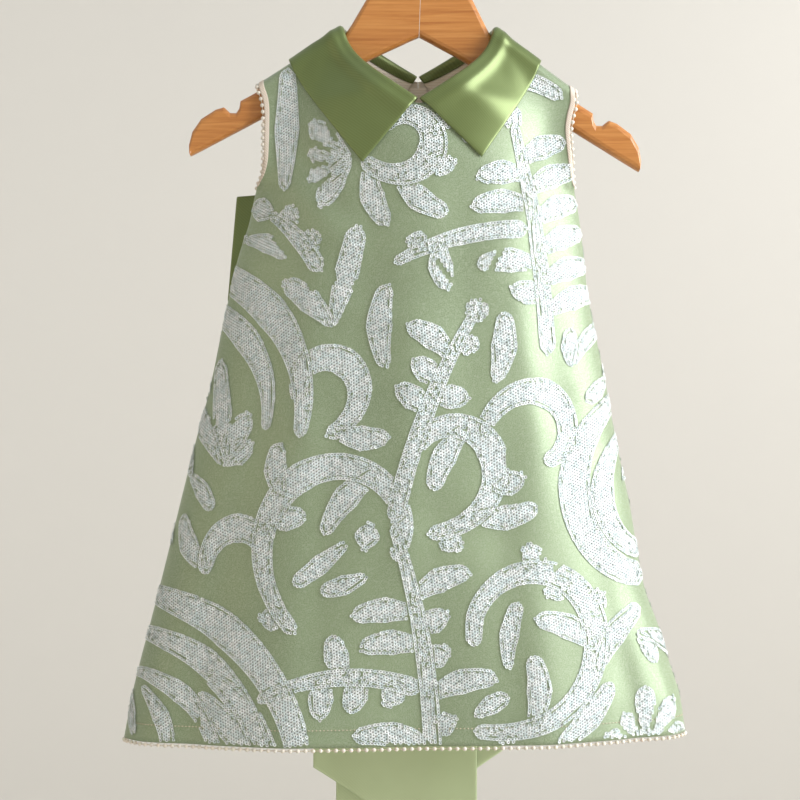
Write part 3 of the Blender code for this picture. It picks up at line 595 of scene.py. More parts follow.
net_cloth = sheer_net_satin()
lining_cloth = cream_lining()
grids = {
    "dress_front": panel_grid(-1, 1, FRONT),
    "dress_back": panel_grid(-1, 1, BACK),
}
middle_column = PANEL_COLUMNS // 2
PANELS = [
    # node, grid, columns, side, flat width and length, flat area
    ("dress_front", "dress_front", slice(None), FRONT, (0.47, 0.50), 0.155),
    ("dress_back_left", "dress_back", slice(0, middle_column + 1), BACK, (0.24, 0.50), 0.080),
    ("dress_back_right", "dress_back", slice(middle_column, None), BACK, (0.24, 0.50), 0.075),
]
for node_name, grid_name, columns, side, flat, flat_area in PANELS:
    face = grids[grid_name][:, columns].copy()
    if node_name == "dress_back_left":
        face[:, -1, 0] -= SEAM_GAP / 2
    if node_name == "dress_back_right":
        face[:, 0, 0] += SEAM_GAP / 2
    piece = shell_piece(node_name + "_cloth", face, CLOTH_THICKNESS,
                        [net_cloth, lining_cloth], np.array([0, side, 0]))
    in_frame(piece, node_name)


# Sequins: silver-white cupped discs of 2.5 mm with a thread knot in the middle, machine sewn
# in rows 2.2 mm apart on the net. They fill leaf scrollwork like the photo's, drawn by rule
# from a short table. The largest motifs stand roughly where the photo's do.

SEQUIN_PITCH = 2.2
SEQUIN_RADIUS = 1.27
SEQUIN_CUP = 0.25
SEQUIN_LIFT = 0.45
SEQUIN_LIFT_SPREAD = 0.12
SEQUIN_SIZES = (0.93, 1.05)
SEQUIN_BAKE_SHARE = 0.8
SEQUIN_SIDES = 7
SEQUIN_TILT = 0.13
KNOT_RADIUS = 0.62
KNOT_SIDES = 4
KNOT_HEIGHT = 0.32
EDGE_LEAST = 0.86
ROW_LEAST = 0.80
FILL_LEAST = 0.84
LATTICE_LEAN = 24
LATTICE_ROW = 0.866
LATTICE_WAVE = 1.6
LATTICE_WAVE_LENGTH = 31.0
GAP_CLEAR = 0.75
GAP_NEAR = 12
EDGE_CLEAR = 1.4
NECK_CLEAR = 2.2
HEM_CLEAR = 1.8
SEAM_CLEAR = 1.8
BACK_SHIFT = 26.0
SEQUIN_SPLIT_Z = -400.0

MOTIFS = [
    # kind, place across and down the flat cloth in mm, heading, length, bend, leaves;
    # a heading is in degrees clockwise from straight up, a bend clockwise where above 0
    ("frond", 20, 540, 0, 180, -20, 12),
    ("frond", -10, 360, 10, 160, 20, 12),
    ("fan", 40, 210, 10, 70, 0, 7),
    ("scroll", 15, 370, 80, 170, -270, 5),
    ("bands", 190, 270, 270, 220, -180, 2),
    ("scroll", 50, 510, 95, 280, -290, 8),
    ("bands", -230, 420, 80, 200, 90, 3),
    ("scroll", -80, 440, 320, 250, 250, 8),
    ("fan", -80, 450, 240, 50, 0, 5),
    ("bands", -80, 300, 10, 190, -110, 2),
    ("fan", -60, 220, 30, 80, 0, 6),
    ("scroll", -60, 300, 60, 130, -300, 4),
    ("fan", -140, 320, 10, 80, 0, 4),
    ("frond", 100, 240, 355, 170, -10, 12),
    ("leaf", -100, 120, 0, 90, 0, 1),
    ("fan", -50, 100, 280, 50, 0, 5),
    ("scroll", -40, 100, 130, 120, -290, 4),
    ("fan", 50, 90, 210, 50, 0, 4),
    ("frond", 80, 150, 270, 100, -30, 6),
    ("frond", 10, 480, 290, 120, -50, 7),
    ("fan", -40, 540, 0, 50, 0, 5),
    ("leaf", -90, 540, 340, 90, -40, 1),
    ("leaf", -110, 540, 340, 70, -40, 1),
    ("fan", 90, 410, 50, 60, 0, 4),
    ("leaf", 140, 470, 20, 60, 40, 1),
    ("scroll", -150, 400, 0, 90, 220, 1),
    ("fan", 180, 530, 0, 50, 0, 5),
    ("fan", -10, 290, 300, 50, 0, 3),
    ("scroll", 50, 300, 20, 130, 240, 4),
    ("frond", -70, 180, 330, 60, -30, 4),
    ("fan", 70, 340, 20, 50, 0, 3),
    ("fan", -30, 380, 330, 50, 0, 3),
    ("fan", -120, 260, 200, 40, 0, 3),
    ("fan", 150, 400, 120, 50, 0, 3),
    ("leaf", 110, 520, 60, 60, -30, 1),
    ("fan", -150, 490, 170, 40, 0, 3),
    ("leaf", 60, 260, 20, 50, -30, 1),
    ("leaf", -20, 250, 340, 60, 40, 1),
    ("leaf", -60, 370, 20, 60, 40, 1),
    ("fan", 60, 130, 200, 40, 0, 3),
]
MOTIF_SEED = 41

# Widths in mm at the root, the middle and the tip
SCROLL_STEM = (11, 22, 12)
FROND_STEM = (14, 13, 8)
FAN_LEAF = (8, 19, 15)
FROND_LEAF = (9, 19, 12)
LONE_LEAF = (10, 20, 12)
BAND = (10, 27, 18)
SPRIG_LEAF = (7, 15, 11)

# How the leaves stand, in mm, degrees and shares of a stem's length
BAND_APART = 28
BAND_NARROWING = 0.2
SLIT = 2.4
SLIT_FROM = 3
FAN_TURN = 23
FAN_CURL = 0.4
FAN_SHORTER_BY = 300
FROND_LEAVES_FROM = 0.1
FROND_LEAVES_RUN = 0.8
FROND_LEAF_LEAN = 58
FROND_LEAF_CURL = 45
FROND_LEAF_LEAST = 33
FROND_LEAF_GROWTH = 0.13
FROND_LEAF_TAPER = 0.35
FROND_TIP = 0.97
FROND_TIP_LEAF = 24
SCROLL_KNOTS = 12
SCROLL_LEAVES_FROM = 0.05
SCROLL_LEAVES_RUN = 0.75
SCROLL_LEAF_LEAN = 60
SCROLL_LEAF_LENGTH = 46
SCROLL_LEAF_CURL = 50
SCROLL_INNER_LEAN = 50
SCROLL_INNER_LENGTH = 50
SCROLL_WITH_INNER = 160
SCROLL_TIGHTEN = 1.35
HAND_DRAWN = 0.07
MOTIF_APART = 1.0
SHORTEST_LEAF = 4
SHORTEST_SLIT = 3
BEND_STEPS = 8
LEAF_MARKS = 40
LEAF_STEP = 0.4
SPRIG_STEP = 17
SPRIG_ROOM = 4.5
SPRIG_LENGTH = 54
SPRIG_TURNS = (0, -36, 36, -72, 72)
SPRIG_TOP = 40
SPRIG_END = 530
SPRIG_STRAY = 5
SPRIG_BEND = 35
SPRIG_CURL = 0.4
SPRIG_SWIRL = (70, 70, 90)  # degrees, mm across and mm down
SPRIG_SWAY = (30, 60)       # degrees, mm down
PANEL_TOP_HALF = 105
PANEL_FLARE = 0.2


class ClothMap:
    """A panel's face by its place on the flat cloth, run across and run down."""

    ROWS = 160
    COLUMNS = 121
    TOP_Z = -124.0

    def __init__(self, side):
        heights = np.linspace(self.TOP_Z, SHOULDER_Z - HEM_DROP - 2, self.ROWS)
        share = np.linspace(-1, 1, self.COLUMNS)
        grid = np.array([
            [surface(x_across(u, SHOULDER_Z - z), z, side) for u in share] for z in heights
        ])
        self.grid = grid
        step = np.linalg.norm(np.diff(grid, axis=1), axis=2)
        across = np.concatenate([np.zeros((self.ROWS, 1)), np.cumsum(step, axis=1)], axis=1)
        middle = self.COLUMNS // 2
        self.across = across - across[:, middle:middle + 1]
        self.down = run_along(grid[:, middle])
        self.normals = outward_normals(grid, np.array([0, side, 0]))

    def points(self, places):
        """Points and normals at cloth places, and which of them lie on the panel."""
        row = np.interp(places[:, 1], self.down, np.arange(self.ROWS))
        low = np.clip(row.astype(int), 0, self.ROWS - 2)
        share = (row - low)[:, None]
        points = np.zeros((len(places), 3))
        normals = np.zeros((len(places), 3))
        inside = np.zeros(len(places), bool)
        for at in np.unique(low):
            here = np.nonzero(low == at)[0]
            blend = share[here]
            found = []
            for r in (at, at + 1):
                values = np.concatenate([self.grid[r], self.normals[r]], axis=1)
                found.append(at_marks(values, self.across[r], places[here, 0]))
            both = found[0] * (1 - blend) + found[1] * blend
            points[here] = both[:, :3]
            normals[here] = both[:, 3:]
            edge = self.across[at]
            inside[here] = (places[here, 0] > edge[0] + EDGE_CLEAR) & (
                places[here, 0] < edge[-1] - EDGE_CLEAR
            )
        normals /= np.linalg.norm(normals, axis=1, keepdims=True)
        return points, normals, inside


def bent_line(start, heading, length, bend, tighten=1.0, knots=9):
    """Points of a line that sets out on a heading and bends, faster towards its end."""
    share = np.linspace(0, 1, BEND_STEPS * (knots - 1) + 1)
    angle = np.radians(heading + bend * share ** tighten)
    steps = np.stack([np.sin(angle), -np.cos(angle)], axis=1)[:-1] * length / (len(share) - 1)
    path = np.array(start, float) + np.concatenate([np.zeros((1, 2)), np.cumsum(steps, axis=0)])
    return path[::BEND_STEPS]


def along_line(line, share):
    """The place and the heading at a share of a line's length."""
    where = share * (len(line) - 1)
    low = min(int(where), len(line) - 2)
    way = line[low + 1] - line[low]
    return line[low] + way * (where - low), math.degrees(math.atan2(way[0], -way[1]))


# Each kind of motif is called with the same values, also those that it has no use for, and
# returns its leaves and its bare slits. uneven() gives the next random length factor.


def fan_leaves(place, heading, length, bend, count, uneven):
    """Leaves that spread from one root, with a bare slit between each pair."""
    leaves, slits = [], []
    turns = np.linspace(-0.5, 0.5, count) * FAN_TURN * count
    for turn in turns:
        long = length * (1 - abs(turn) / FAN_SHORTER_BY) * uneven()
        leaves.append((FAN_LEAF, bent_line(place, heading + turn, long, turn * FAN_CURL)))
    for turn in (turns[1:] + turns[:-1]) / 2:
        line = bent_line(place, heading + turn, length, turn * FAN_CURL)
        slits.append((SLIT, line[SLIT_FROM:]))
    return leaves, slits


def frond_leaves(place, heading, length, bend, count, uneven):
    """A stem with curling leaves on both sides by turns, and one at its tip."""
    stem = bent_line(place, heading, length, bend)
    leaves = [(FROND_STEM, stem)]
    for k in range(count):
        share = FROND_LEAVES_FROM + FROND_LEAVES_RUN * k / count
        hand = 1 if k % 2 else -1
        root, way = along_line(stem, share)
        long = FROND_LEAF_LEAST + FROND_LEAF_GROWTH * length
        long = long * (1 - FROND_LEAF_TAPER * share) * uneven()
        leaves.append((FROND_LEAF, bent_line(root, way + hand * FROND_LEAF_LEAN, long,
                                             hand * FROND_LEAF_CURL * uneven())))
    tip, way = along_line(stem, FROND_TIP)
    leaves.append((FROND_LEAF, bent_line(tip, way, FROND_TIP_LEAF * uneven(), bend)))
    return leaves, []


def scroll_leaves(place, heading, length, bend, count, uneven):
    """A stem that winds into a curl, with leaves outside it, and inside it if it is long."""
    stem = bent_line(place, heading, length, bend, tighten=SCROLL_TIGHTEN,
                     knots=SCROLL_KNOTS)
    leaves = [(SCROLL_STEM, stem)]
    hand = -math.copysign(1, bend)
    for k in range(count):
        share = SCROLL_LEAVES_FROM + SCROLL_LEAVES_RUN * k / count
        root, way = along_line(stem, share)
        leaves.append((FROND_LEAF, bent_line(
            root, way + hand * SCROLL_LEAF_LEAN, SCROLL_LEAF_LENGTH * uneven(),
            -hand * SCROLL_LEAF_CURL * uneven())))
        if length > SCROLL_WITH_INNER:
            leaves.append((FROND_LEAF, bent_line(
                root, way - hand * SCROLL_INNER_LEAN, SCROLL_INNER_LENGTH * uneven(),
                -hand * SCROLL_LEAF_CURL * uneven())))
    return leaves, []


def band_leaves(place, heading, length, bend, count, uneven):
    """Broad plumes, one inside the other."""
    leaves = []
    inward = np.radians(heading + math.copysign(90, bend))
    for k in range(count):
        start = np.array(place) + BAND_APART * k * np.array([math.sin(inward), -math.cos(inward)])
        long = length * (1 - BAND_APART * k * math.radians(abs(bend)) / length) * uneven()
        leaves.append((tuple(width * (1 - BAND_NARROWING * k) for width in BAND),
                       bent_line(start, heading, long, bend)))
    return leaves, []


def lone_leaf(place, heading, length, bend, count, uneven):
    """One broad leaf."""
    return [(LONE_LEAF, bent_line(place, heading, length, bend))], []


MOTIF_KINDS = {"fan": fan_leaves, "frond": frond_leaves, "scroll": scroll_leaves,
               "bands": band_leaves, "leaf": lone_leaf}


def fitted(widths, line, taken):
    """A leaf's line, cut short where it would run into another motif's leaves."""
    half = max(widths) / 2
    for k in range(2, len(line)):
        apart = np.hypot(*(taken[:, :2] - line[k]).T)
        if (apart < taken[:, 2] + half + MOTIF_APART).any():
            return line[:k]
    return line


def covered(widths, line):
    """Places along a leaf with its half width there."""
    where = np.linspace(0, len(line) - 1, LEAF_MARKS)
    half = np.interp(where, [0, len(line) / 2, len(line)], widths) / 2
    return np.column_stack([at_marks(line, np.arange(len(line)), where), half])


def sprigs(taken, rng):
    """Small sprigs on a swirl of headings, wherever the ground is bare."""
    found = []
    swing, wide, tall = SPRIG_SWIRL
    sway, wave = SPRIG_SWAY
    for y in np.arange(SPRIG_TOP, SPRIG_END, SPRIG_STEP):
        reach = PANEL_TOP_HALF + PANEL_FLARE * y
        for x in np.arange(-reach, reach, SPRIG_STEP):
            place = np.array([x, y]) + rng.uniform(-SPRIG_STRAY, SPRIG_STRAY, 2)
            heading = swing * math.sin(x / wide + y / tall) - sway * math.cos(y / wave)
            room = (np.hypot(*(taken[:, :2] - place).T) - taken[:, 2]).min()
            if room < SPRIG_ROOM:
                continue
            grown = []
            for turn in SPRIG_TURNS:
                bend = SPRIG_BEND + turn * SPRIG_CURL
                line = bent_line(place, heading + turn, SPRIG_LENGTH, bend)
                line = fitted(SPRIG_LEAF, line, taken)
                if len(line) >= SHORTEST_LEAF + 1:
                    grown.append((SPRIG_LEAF, line))
            if grown:
                found += grown
                taken = np.concatenate([taken] + [covered(*leaf) for leaf in grown])
    return found


def drawn_motifs():
    """All leaves and slits of the scrollwork, drawn by rule on the flat front: first the
    stems, then the leaves, each as long as the others leave room for."""
    rng = np.random.default_rng(MOTIF_SEED)
    drawn = []
    for kind, x, y, heading, length, bend, count in MOTIFS:
        leaves, slits = MOTIF_KINDS[kind]((x, y), heading, length, bend, count,
                                          lambda: 1 + rng.uniform(-HAND_DRAWN, HAND_DRAWN))
        stems = {"frond": 1, "scroll": 1, "bands": count, "leaf": 1, "fan": 0}[kind]
        drawn.append((leaves[:stems], leaves[stems:], slits))
    taken = [[covered(*stem) for stem in stems] for stems, _, _ in drawn]
    found = [stem for stems, _, _ in drawn for stem in stems]
    bare = []
    for own, (stems, leaves, slits) in enumerate(drawn):
        others = np.concatenate([
            part for k, parts in enumerate(taken) if k != own for part in parts
        ])
        roots_apart = len(stems) > 0
        for widths, line in leaves:
            line = fitted(widths, line, others)
            if len(line) >= SHORTEST_LEAF:
                found.append((widths, line))
                taken[own].append(covered(widths, line))
                if roots_apart:
                    others = np.concatenate([others, taken[own][-1]])
        for width, line in slits:
            line = fitted((width,), line, others)
            if len(line) >= SHORTEST_SLIT:
                bare.append((width, line))
    everything = np.concatenate([part for parts in taken for part in parts])
    return found + sprigs(everything, rng), bare


def curve_points(knots, count=16):
    """A smooth line through a leaf's points."""
    ends = [2 * knots[0] - knots[1], *knots, 2 * knots[-1] - knots[-2]]
    line = []
    for a, b, c, d in zip(ends, ends[1:], ends[2:], ends[3:]):
        for t in np.arange(count) / count:
            line.append(
                0.5 * ((2 * b) + (c - a) * t + (2 * a - 5 * b + 4 * c - d) * t**2
                       + (3 * b - a - 3 * c + d) * t**3)
            )
    line.append(knots[-1])
    return np.array(line)


class Leaf:
    """One leaf on the flat cloth: its middle line and half width, with round ends."""

    def __init__(self, widths, knots):
        line = curve_points(knots)
        run = run_along(line)
        fine = np.arange(0, run[-1], LEAF_STEP)
        self.line = at_marks(line, run, fine)
        half = np.interp(fine / fine[-1], [0, 0.5, 1], widths) / 2
        for to_end, round_end in ((fine[-1] - fine, half[-1]), (fine, half[0])):
            capped = np.minimum(to_end / round_end, 1.0)
            half = half * np.sqrt(np.maximum(1 - (1 - capped) ** 2, 0.0))
        self.room = half - SEQUIN_RADIUS

    def edge_row(self):
        """Places of the sequins along the leaf's edge."""
        along = np.gradient(self.line, axis=0)
        along /= np.linalg.norm(along, axis=1, keepdims=True)
        normal = np.stack([-along[:, 1], along[:, 0]], axis=1)
        spots = []
        for hand in (-1, 1):
            path = self.line + normal * (hand * np.maximum(self.room, 0.0))[:, None]
            run = run_along(path)
            order = np.arange(len(path))
            where = np.interp(np.arange(0, run[-1], SEQUIN_PITCH), run, order)
            kept = self.room[where.astype(int)] > -SEQUIN_PITCH / 2
            spots.append(at_marks(path, order, where)[kept])
        return np.concatenate(spots)

    def covers(self, places):
        """Which places lie inside the leaf's edge row."""
        reach = self.room.max()
        inside = np.zeros(len(places), bool)
        low, high = self.line.min(axis=0) - reach, self.line.max(axis=0) + reach
        near = np.nonzero(((places > low) & (places < high)).all(axis=1))[0]
        wide = self.room > 0
        if len(near) and wide.any():
            apart = places[near][:, None] - self.line[wide][None]
            distance = np.linalg.norm(apart, axis=2)
            inside[near] = (distance < self.room[wide][None]).any(axis=1)
        return inside


def lattice(step, low, high):
    """Staggered rows of places, a little askew and wavy as sewn by machine on soft net."""
    half = np.linalg.norm(high - low) / 2 + 3 * step
    marks = np.arange(-half, half, step)
    found = []
    for row, y in enumerate(np.arange(-half, half, step * LATTICE_ROW)):
        found.append(np.stack([marks + (row % 2) * step / 2, np.full(len(marks), y)], axis=1))
    places = np.concatenate(found)
    turn = math.radians(LATTICE_LEAN)
    lean = np.array([[math.cos(turn), math.sin(turn)], [-math.sin(turn), math.cos(turn)]])
    places = places @ lean + (low + high) / 2
    places += LATTICE_WAVE * np.sin(places[:, ::-1] / LATTICE_WAVE_LENGTH)
    return places[((places > low) & (places < high)).all(axis=1)]


def thin_out(groups):
    """Drop places that lie too near an earlier one; each group has its own least space."""
    cells = {}
    kept = []
    cell_side = SEQUIN_PITCH
    for places, least in groups:
        limit = (least * SEQUIN_PITCH) ** 2
        for x, y in places:
            column, row = int(x // cell_side), int(y // cell_side)
            around = [
                other for i in (-1, 0, 1) for j in (-1, 0, 1)
                for other in cells.get((column + i, row + j), ())
            ]
            if all((other[0] - x) ** 2 + (other[1] - y) ** 2 >= limit for other in around):
                cells.setdefault((column, row), []).append((x, y))
                kept.append((x, y))
    return np.array(kept)


def clear_of_gaps(places, gap_lines):
    """Leave the bare strips between leaves free."""
    clear = np.ones(len(places), bool)
    for line, halves in gap_lines:
        low = line.min(axis=0) - GAP_NEAR
        high = line.max(axis=0) + GAP_NEAR
        near = np.nonzero(((places > low) & (places < high)).all(axis=1) & clear)[0]
        apart = places[near][:, None] - line[None]
        distance = np.linalg.norm(apart, axis=2)
        limit = halves[None] + SEQUIN_RADIUS * GAP_CLEAR
        clear[near[(distance < limit).any(axis=1)]] = False
    return places[clear]


def sequin_places(mirror=1, shift=0.0):
    """Every sequin's cloth place, from the motifs."""
    drawn, bare = drawn_motifs()
    turned = np.array([mirror, 1])
    moved = np.array([shift, 0.0])
    leaves = [Leaf(widths, line * turned + moved) for widths, line in drawn]
    gap_lines = []
    for width, line in bare:
        line = curve_points(line * turned + moved)
        gap_lines.append((line, np.full(len(line), width / 2)))
    edges = np.concatenate([leaf.edge_row() for leaf in leaves])
    filled = []
    for step in (SEQUIN_PITCH, SEQUIN_PITCH / 2):
        places = lattice(step, edges.min(axis=0), edges.max(axis=0))
        inside = np.zeros(len(places), bool)
        for leaf in leaves:
            inside |= leaf.covers(places)
        filled.append(clear_of_gaps(places[inside], gap_lines))
    return thin_out([(clear_of_gaps(edges, gap_lines), EDGE_LEAST),
                     (filled[0], ROW_LEAST), (filled[1], FILL_LEAST)])


def sequin_piece(name, points, normals, places, materials, seed):
    """Cupped discs with a knot in the middle, one mesh, unwrapped flat for the bake."""
    rng = np.random.default_rng(seed)
    count = len(points)
    normals = normals + rng.normal(0, SEQUIN_TILT, (count, 3))
    normals /= np.linalg.norm(normals, axis=1, keepdims=True)
    first = np.cross(normals, [0.0, 0.0, 1.0])
    first /= np.linalg.norm(first, axis=1, keepdims=True)
    second = np.cross(normals, first)
    radius = SEQUIN_RADIUS * rng.uniform(*SEQUIN_SIZES, count)
    turn = rng.uniform(0, 2 * math.pi, count)
    lift = SEQUIN_LIFT + rng.uniform(0, SEQUIN_LIFT_SPREAD, count)
    centre = points + normals * lift[:, None]
    corners = []
    flat = []

    def cone(sides, reach, rim_lift, top_lift, bake_share):
        """A ring of corners about the centre, then the middle one."""
        for i in range(sides):
            angle = turn + 2 * math.pi * i / sides
            out = first * np.cos(angle)[:, None] + second * np.sin(angle)[:, None]
            corners.append(centre + out * reach + normals * rim_lift)
            level = np.stack([np.cos(angle), np.sin(angle)], 1)
            flat.append(places + level * reach * bake_share)
        corners.append(centre + normals * top_lift)
        flat.append(places)

    cone(SEQUIN_SIDES, radius[:, None], SEQUIN_CUP, 0, SEQUIN_BAKE_SHARE)
    cone(KNOT_SIDES, KNOT_RADIUS, KNOT_HEIGHT / 2, KNOT_HEIGHT, 1)
    per = len(corners)
    points = np.stack(corners, axis=1).reshape(-1, 3)
    flat = np.stack(flat, axis=1).reshape(-1, 2)
    base = np.arange(count)[:, None] * per
    hub = SEQUIN_SIDES
    pattern = [(i, (i + 1) % SEQUIN_SIDES, hub) for i in range(SEQUIN_SIDES)]
    top = hub + 1 + KNOT_SIDES
    pattern += [(hub + 1 + i, hub + 1 + (i + 1) % KNOT_SIDES, top) for i in range(KNOT_SIDES)]
    faces = (base[:, :, None] + np.array(pattern)[None]).reshape(-1, 3)
    made = mesh_piece(name, points, faces.tolist(), materials, smooth=False)
    kinds = np.zeros((count, len(pattern)), np.int32)
    kinds[:, SEQUIN_SIDES:] = 1
    made.data.polygons.foreach_set("material_index", kinds.ravel())
    flat -= flat.min(axis=0)
    flat /= flat.max()
    layer = made.data.uv_layers.new(name="OFBake")
    layer.data.foreach_set("uv", flat[faces.ravel()].astype(np.float32).ravel())
    return made


def silver_sequin():
    """Pressed film with a pearl coat: bluish white and softly glossy, a little uneven from
    disc to disc, which gives the cloth its sparkle."""
    made, tree, shader = blank_material("pearl_white_sequin", Roughness=0.42, Metallic=0.08)
    shader.inputs["Coat Weight"].default_value = 0.12
    shader.inputs["Coat Roughness"].default_value = 0.2
    place = add(tree, "ShaderNodeTexCoord").outputs["Object"]
    speckle = add(tree, "ShaderNodeTexNoise", {"Vector": place, "Scale": PER_METRE / 3.0,
                                               "Detail": 0.0})
    spread = add(tree, "ShaderNodeMapRange", {"Value": speckle.outputs["Fac"], "From Min": 0.3,
                                              "From Max": 0.7})
    tint = add(tree, "ShaderNodeMix", {
        FACTOR: spread.outputs["Result"], FIRST: linear("#d9e7e8"), SECOND: linear("#fbffff"),
    }, data_type="RGBA")
    tree.links.new(tint.outputs[MIXED], shader.inputs["Base Color"])
    return made


def thread_knot_with_painted_shade():
    """Polyester sewing thread, grey-green and matt, frayed lighter at its crossings; each
    knot sits in its disc's hole, and its near-black tone is partly painted shade for the
    shadow in the hole, so that it shows as a dark dot."""
    made, tree, shader = blank_material("dark_thread_knot_painted_hole_shade", Roughness=0.85)
    shader.inputs["Specular IOR Level"].default_value = 0.2
    place = add(tree, "ShaderNodeTexCoord").outputs["Object"]
    fray = add(tree, "ShaderNodeTexNoise", {"Vector": place, "Scale": PER_METRE / 2.0,
                                            "Detail": 1.0})
    # Near-black thread tones: partly real thread, partly painted shade for the shadow in each
    # sequin's hole.
    tone = add(tree, "ShaderNodeMix", {
        FACTOR: fray.outputs["Fac"], FIRST: linear("#172017"), SECOND: linear("#3a4537"),
    }, data_type="RGBA")
    tree.links.new(tone.outputs[MIXED], shader.inputs["Base Color"])
    return made


sequin_film = silver_sequin()
thread_and_hole_shade = thread_knot_with_painted_shade()


def on_panel(points, side):
    """True where a sequin is clear of the neckline, the ridge and the hem."""
    clear = []
    for x, _, z in points:
        hem = hem_z(u_across(x, SHOULDER_Z - z))
        clear.append(top_z(x, side) - z > NECK_CLEAR and z > hem + HEM_CLEAR)
    return np.array(clear)


def sew_sequins():
    """Both sides in two pieces each; the back has the front's pattern mirrored and moved."""
    for side, mirror, shift in ((FRONT, 1, 0.0), (BACK, -1, BACK_SHIFT)):
        places = sequin_places(mirror, shift)
        points, normals, inside = ClothMap(side).points(places)
        inside &= on_panel(points, side)
        if side == BACK:
            inside &= np.abs(points[:, 0] - NECK_CENTRE_X) > SEAM_CLEAR
        points, normals, places = points[inside], normals[inside], places[inside]
        upper = points[:, 2] > SEQUIN_SPLIT_Z
        word = "front" if side == FRONT else "back"
        for part, chosen, seed in (("upper", upper, 3), ("lower", ~upper, 5)):
            piece = sequin_piece(f"sequins_{word}_{part}", points[chosen], normals[chosen],
                                 places[chosen], [sequin_film, thread_and_hole_shade], seed + side)
            in_frame(piece)


sew_sequins()


# Pearl edging: a cream cotton binding is folded over each armhole's edge, and round pearls of
# 3.2 mm are strung along it and along the hem. A row of small hand stitches above the hem
# holds its turning. Pearls are joined ball meshes, and the string is a tube through them.

PEARL_RADIUS = 1.6
PEARL_SEGMENTS = 12
PEARL_RINGS = 8
PEARL_UNEVEN = 0.05
STRING_RADIUS = 0.35
STRING_STEP = 2.6
STRING_SIDES = 6
ARMHOLE_PEARL_STEP = 5.0
HEM_PEARL_STEP = 5.4
PEARL_FROM_EDGE = 1.9
PEARL_OUT_LEAST = 0.2
EDGE_PROBE = 1.5
BINDING_OUTSIDE = (4.0, 3.0, 1.9, 0.8)
BINDING_INSIDE = (0.8, 2.2, 3.4)
BINDING_TURNS = (0.3, 0.9, 1.5, 2.1, 2.8)
BINDING_LIFT = 0.5
BINDING_WALL = 0.35
STITCH_RADIUS = 0.38
STITCH_HALF_LENGTH = 0.5
STITCH_STEP = 2.7
STITCH_ABOVE_HEM = 12.5
STITCH_REACH = 0.985
STITCH_LINE_POINTS = 401
STITCH_LIFT = 0.6
STITCH_SIDES = 5


def round_ball(radius):
    """Points and faces of one ball about the origin."""
    points = [(0.0, 0.0, 1.0)]
    for i in range(1, PEARL_RINGS):
        slope = math.pi * i / PEARL_RINGS
        for j in range(PEARL_SEGMENTS):
            turn = 2 * math.pi * j / PEARL_SEGMENTS
            points.append((math.sin(slope) * math.cos(turn), math.sin(slope) * math.sin(turn),
                           math.cos(slope)))
    points.append((0.0, 0.0, -1.0))
    last = len(points) - 1
    faces = []
    for j in range(PEARL_SEGMENTS):
        beside = (j + 1) % PEARL_SEGMENTS
        faces.append((0, 1 + j, 1 + beside))
        low = 1 + (PEARL_RINGS - 2) * PEARL_SEGMENTS
        faces.append((low + beside, low + j, last))
        for i in range(PEARL_RINGS - 2):
            a = 1 + i * PEARL_SEGMENTS
            faces.append((a + j, a + PEARL_SEGMENTS + j, a + PEARL_SEGMENTS + beside, a + beside))
    return np.array(points) * radius, faces


def even_points(line, step):
    """Points a step apart round a closed line."""
    line = np.vstack([line, line[:1]])
    run = run_along(line)
    count = round(run[-1] / step)
    return at_marks(line, run, np.arange(count) * run[-1] / count)


def tube_mesh(line, radius, sides, reference, closed):
    """Points and faces of a round tube along a line; the reference is off every tangent."""
    line = np.asarray(line, float)
    tangent = np.roll(line, -1, 0) - np.roll(line, 1, 0) if closed else np.gradient(line, axis=0)
    first = np.cross(tangent, reference)
    first /= np.linalg.norm(first, axis=1, keepdims=True)
    second = np.cross(tangent, first)
    second /= np.linalg.norm(second, axis=1, keepdims=True)
    turns = 2 * math.pi * np.arange(sides) / sides
    ring = first[:, None] * np.cos(turns)[:, None] + second[:, None] * np.sin(turns)[:, None]
    points = (line[:, None] + ring * radius).reshape(-1, 3)
    faces = []
    rows = len(line)
    for i in range(rows if closed else rows - 1):
        a, b = i * sides, (i + 1) % rows * sides
        for j in range(sides):
            beside = (j + 1) % sides
            faces.append((a + j, a + beside, b + beside, b + j))
    if not closed:
        faces.append(tuple(range(sides - 1, -1, -1)))
        faces.append(tuple(range((rows - 1) * sides, rows * sides)))
    return points, faces


def joined(parts):
    """Several meshes of points and faces as one."""
    points = []
    faces = []
    first = 0
    for part_points, part_faces in parts:
        points.append(part_points)
        faces += [tuple(corner + first for corner in face) for face in part_faces]
        first += len(part_points)
    return np.concatenate(points), faces


def glass_pearl():
    """Glass pearls with a warm nacre coat: glossy, each a slightly different cream."""
    made, tree, shader = blank_material("cream_glass_pearl", Roughness=0.25)
    shader.inputs["Coat Weight"].default_value = 0.5
    shader.inputs["Coat Roughness"].default_value = 0.12
    shader.inputs["Subsurface Weight"].default_value = 0.1
    place = add(tree, "ShaderNodeTexCoord").outputs["Object"]
    patch = add(tree, "ShaderNodeTexNoise", {"Vector": place, "Scale": PER_METRE / 6.0,
                                             "Detail": 0.0})
    nacre = add(tree, "ShaderNodeMix", {
        FACTOR: patch.outputs["Fac"], FIRST: linear("#d8cbb8"), SECOND: linear("#f2ebdf"),
    }, data_type="RGBA")
    tree.links.new(nacre.outputs[MIXED], shader.inputs["Base Color"])
    return made


def cotton_thread():
    """Cream cotton thread: matt, with a twist 0.5 mm long."""
    made, tree, shader = blank_material("cream_cotton_thread", Roughness=0.85)
    place = add(tree, "ShaderNodeTexCoord").outputs["Object"]
    twist = add(tree, "ShaderNodeTexWave", {"Vector": place, "Scale": PER_METRE / 0.5 / WAVE_SPAN},
                bands_direction="DIAGONAL")
    tone = add(tree, "ShaderNodeMix", {
        FACTOR: twist.outputs["Fac"], FIRST: linear("#b9a98f"), SECOND: linear("#e2d7c2"),
    }, data_type="RGBA")
    tree.links.new(tone.outputs[MIXED], shader.inputs["Base Color"])
    return made


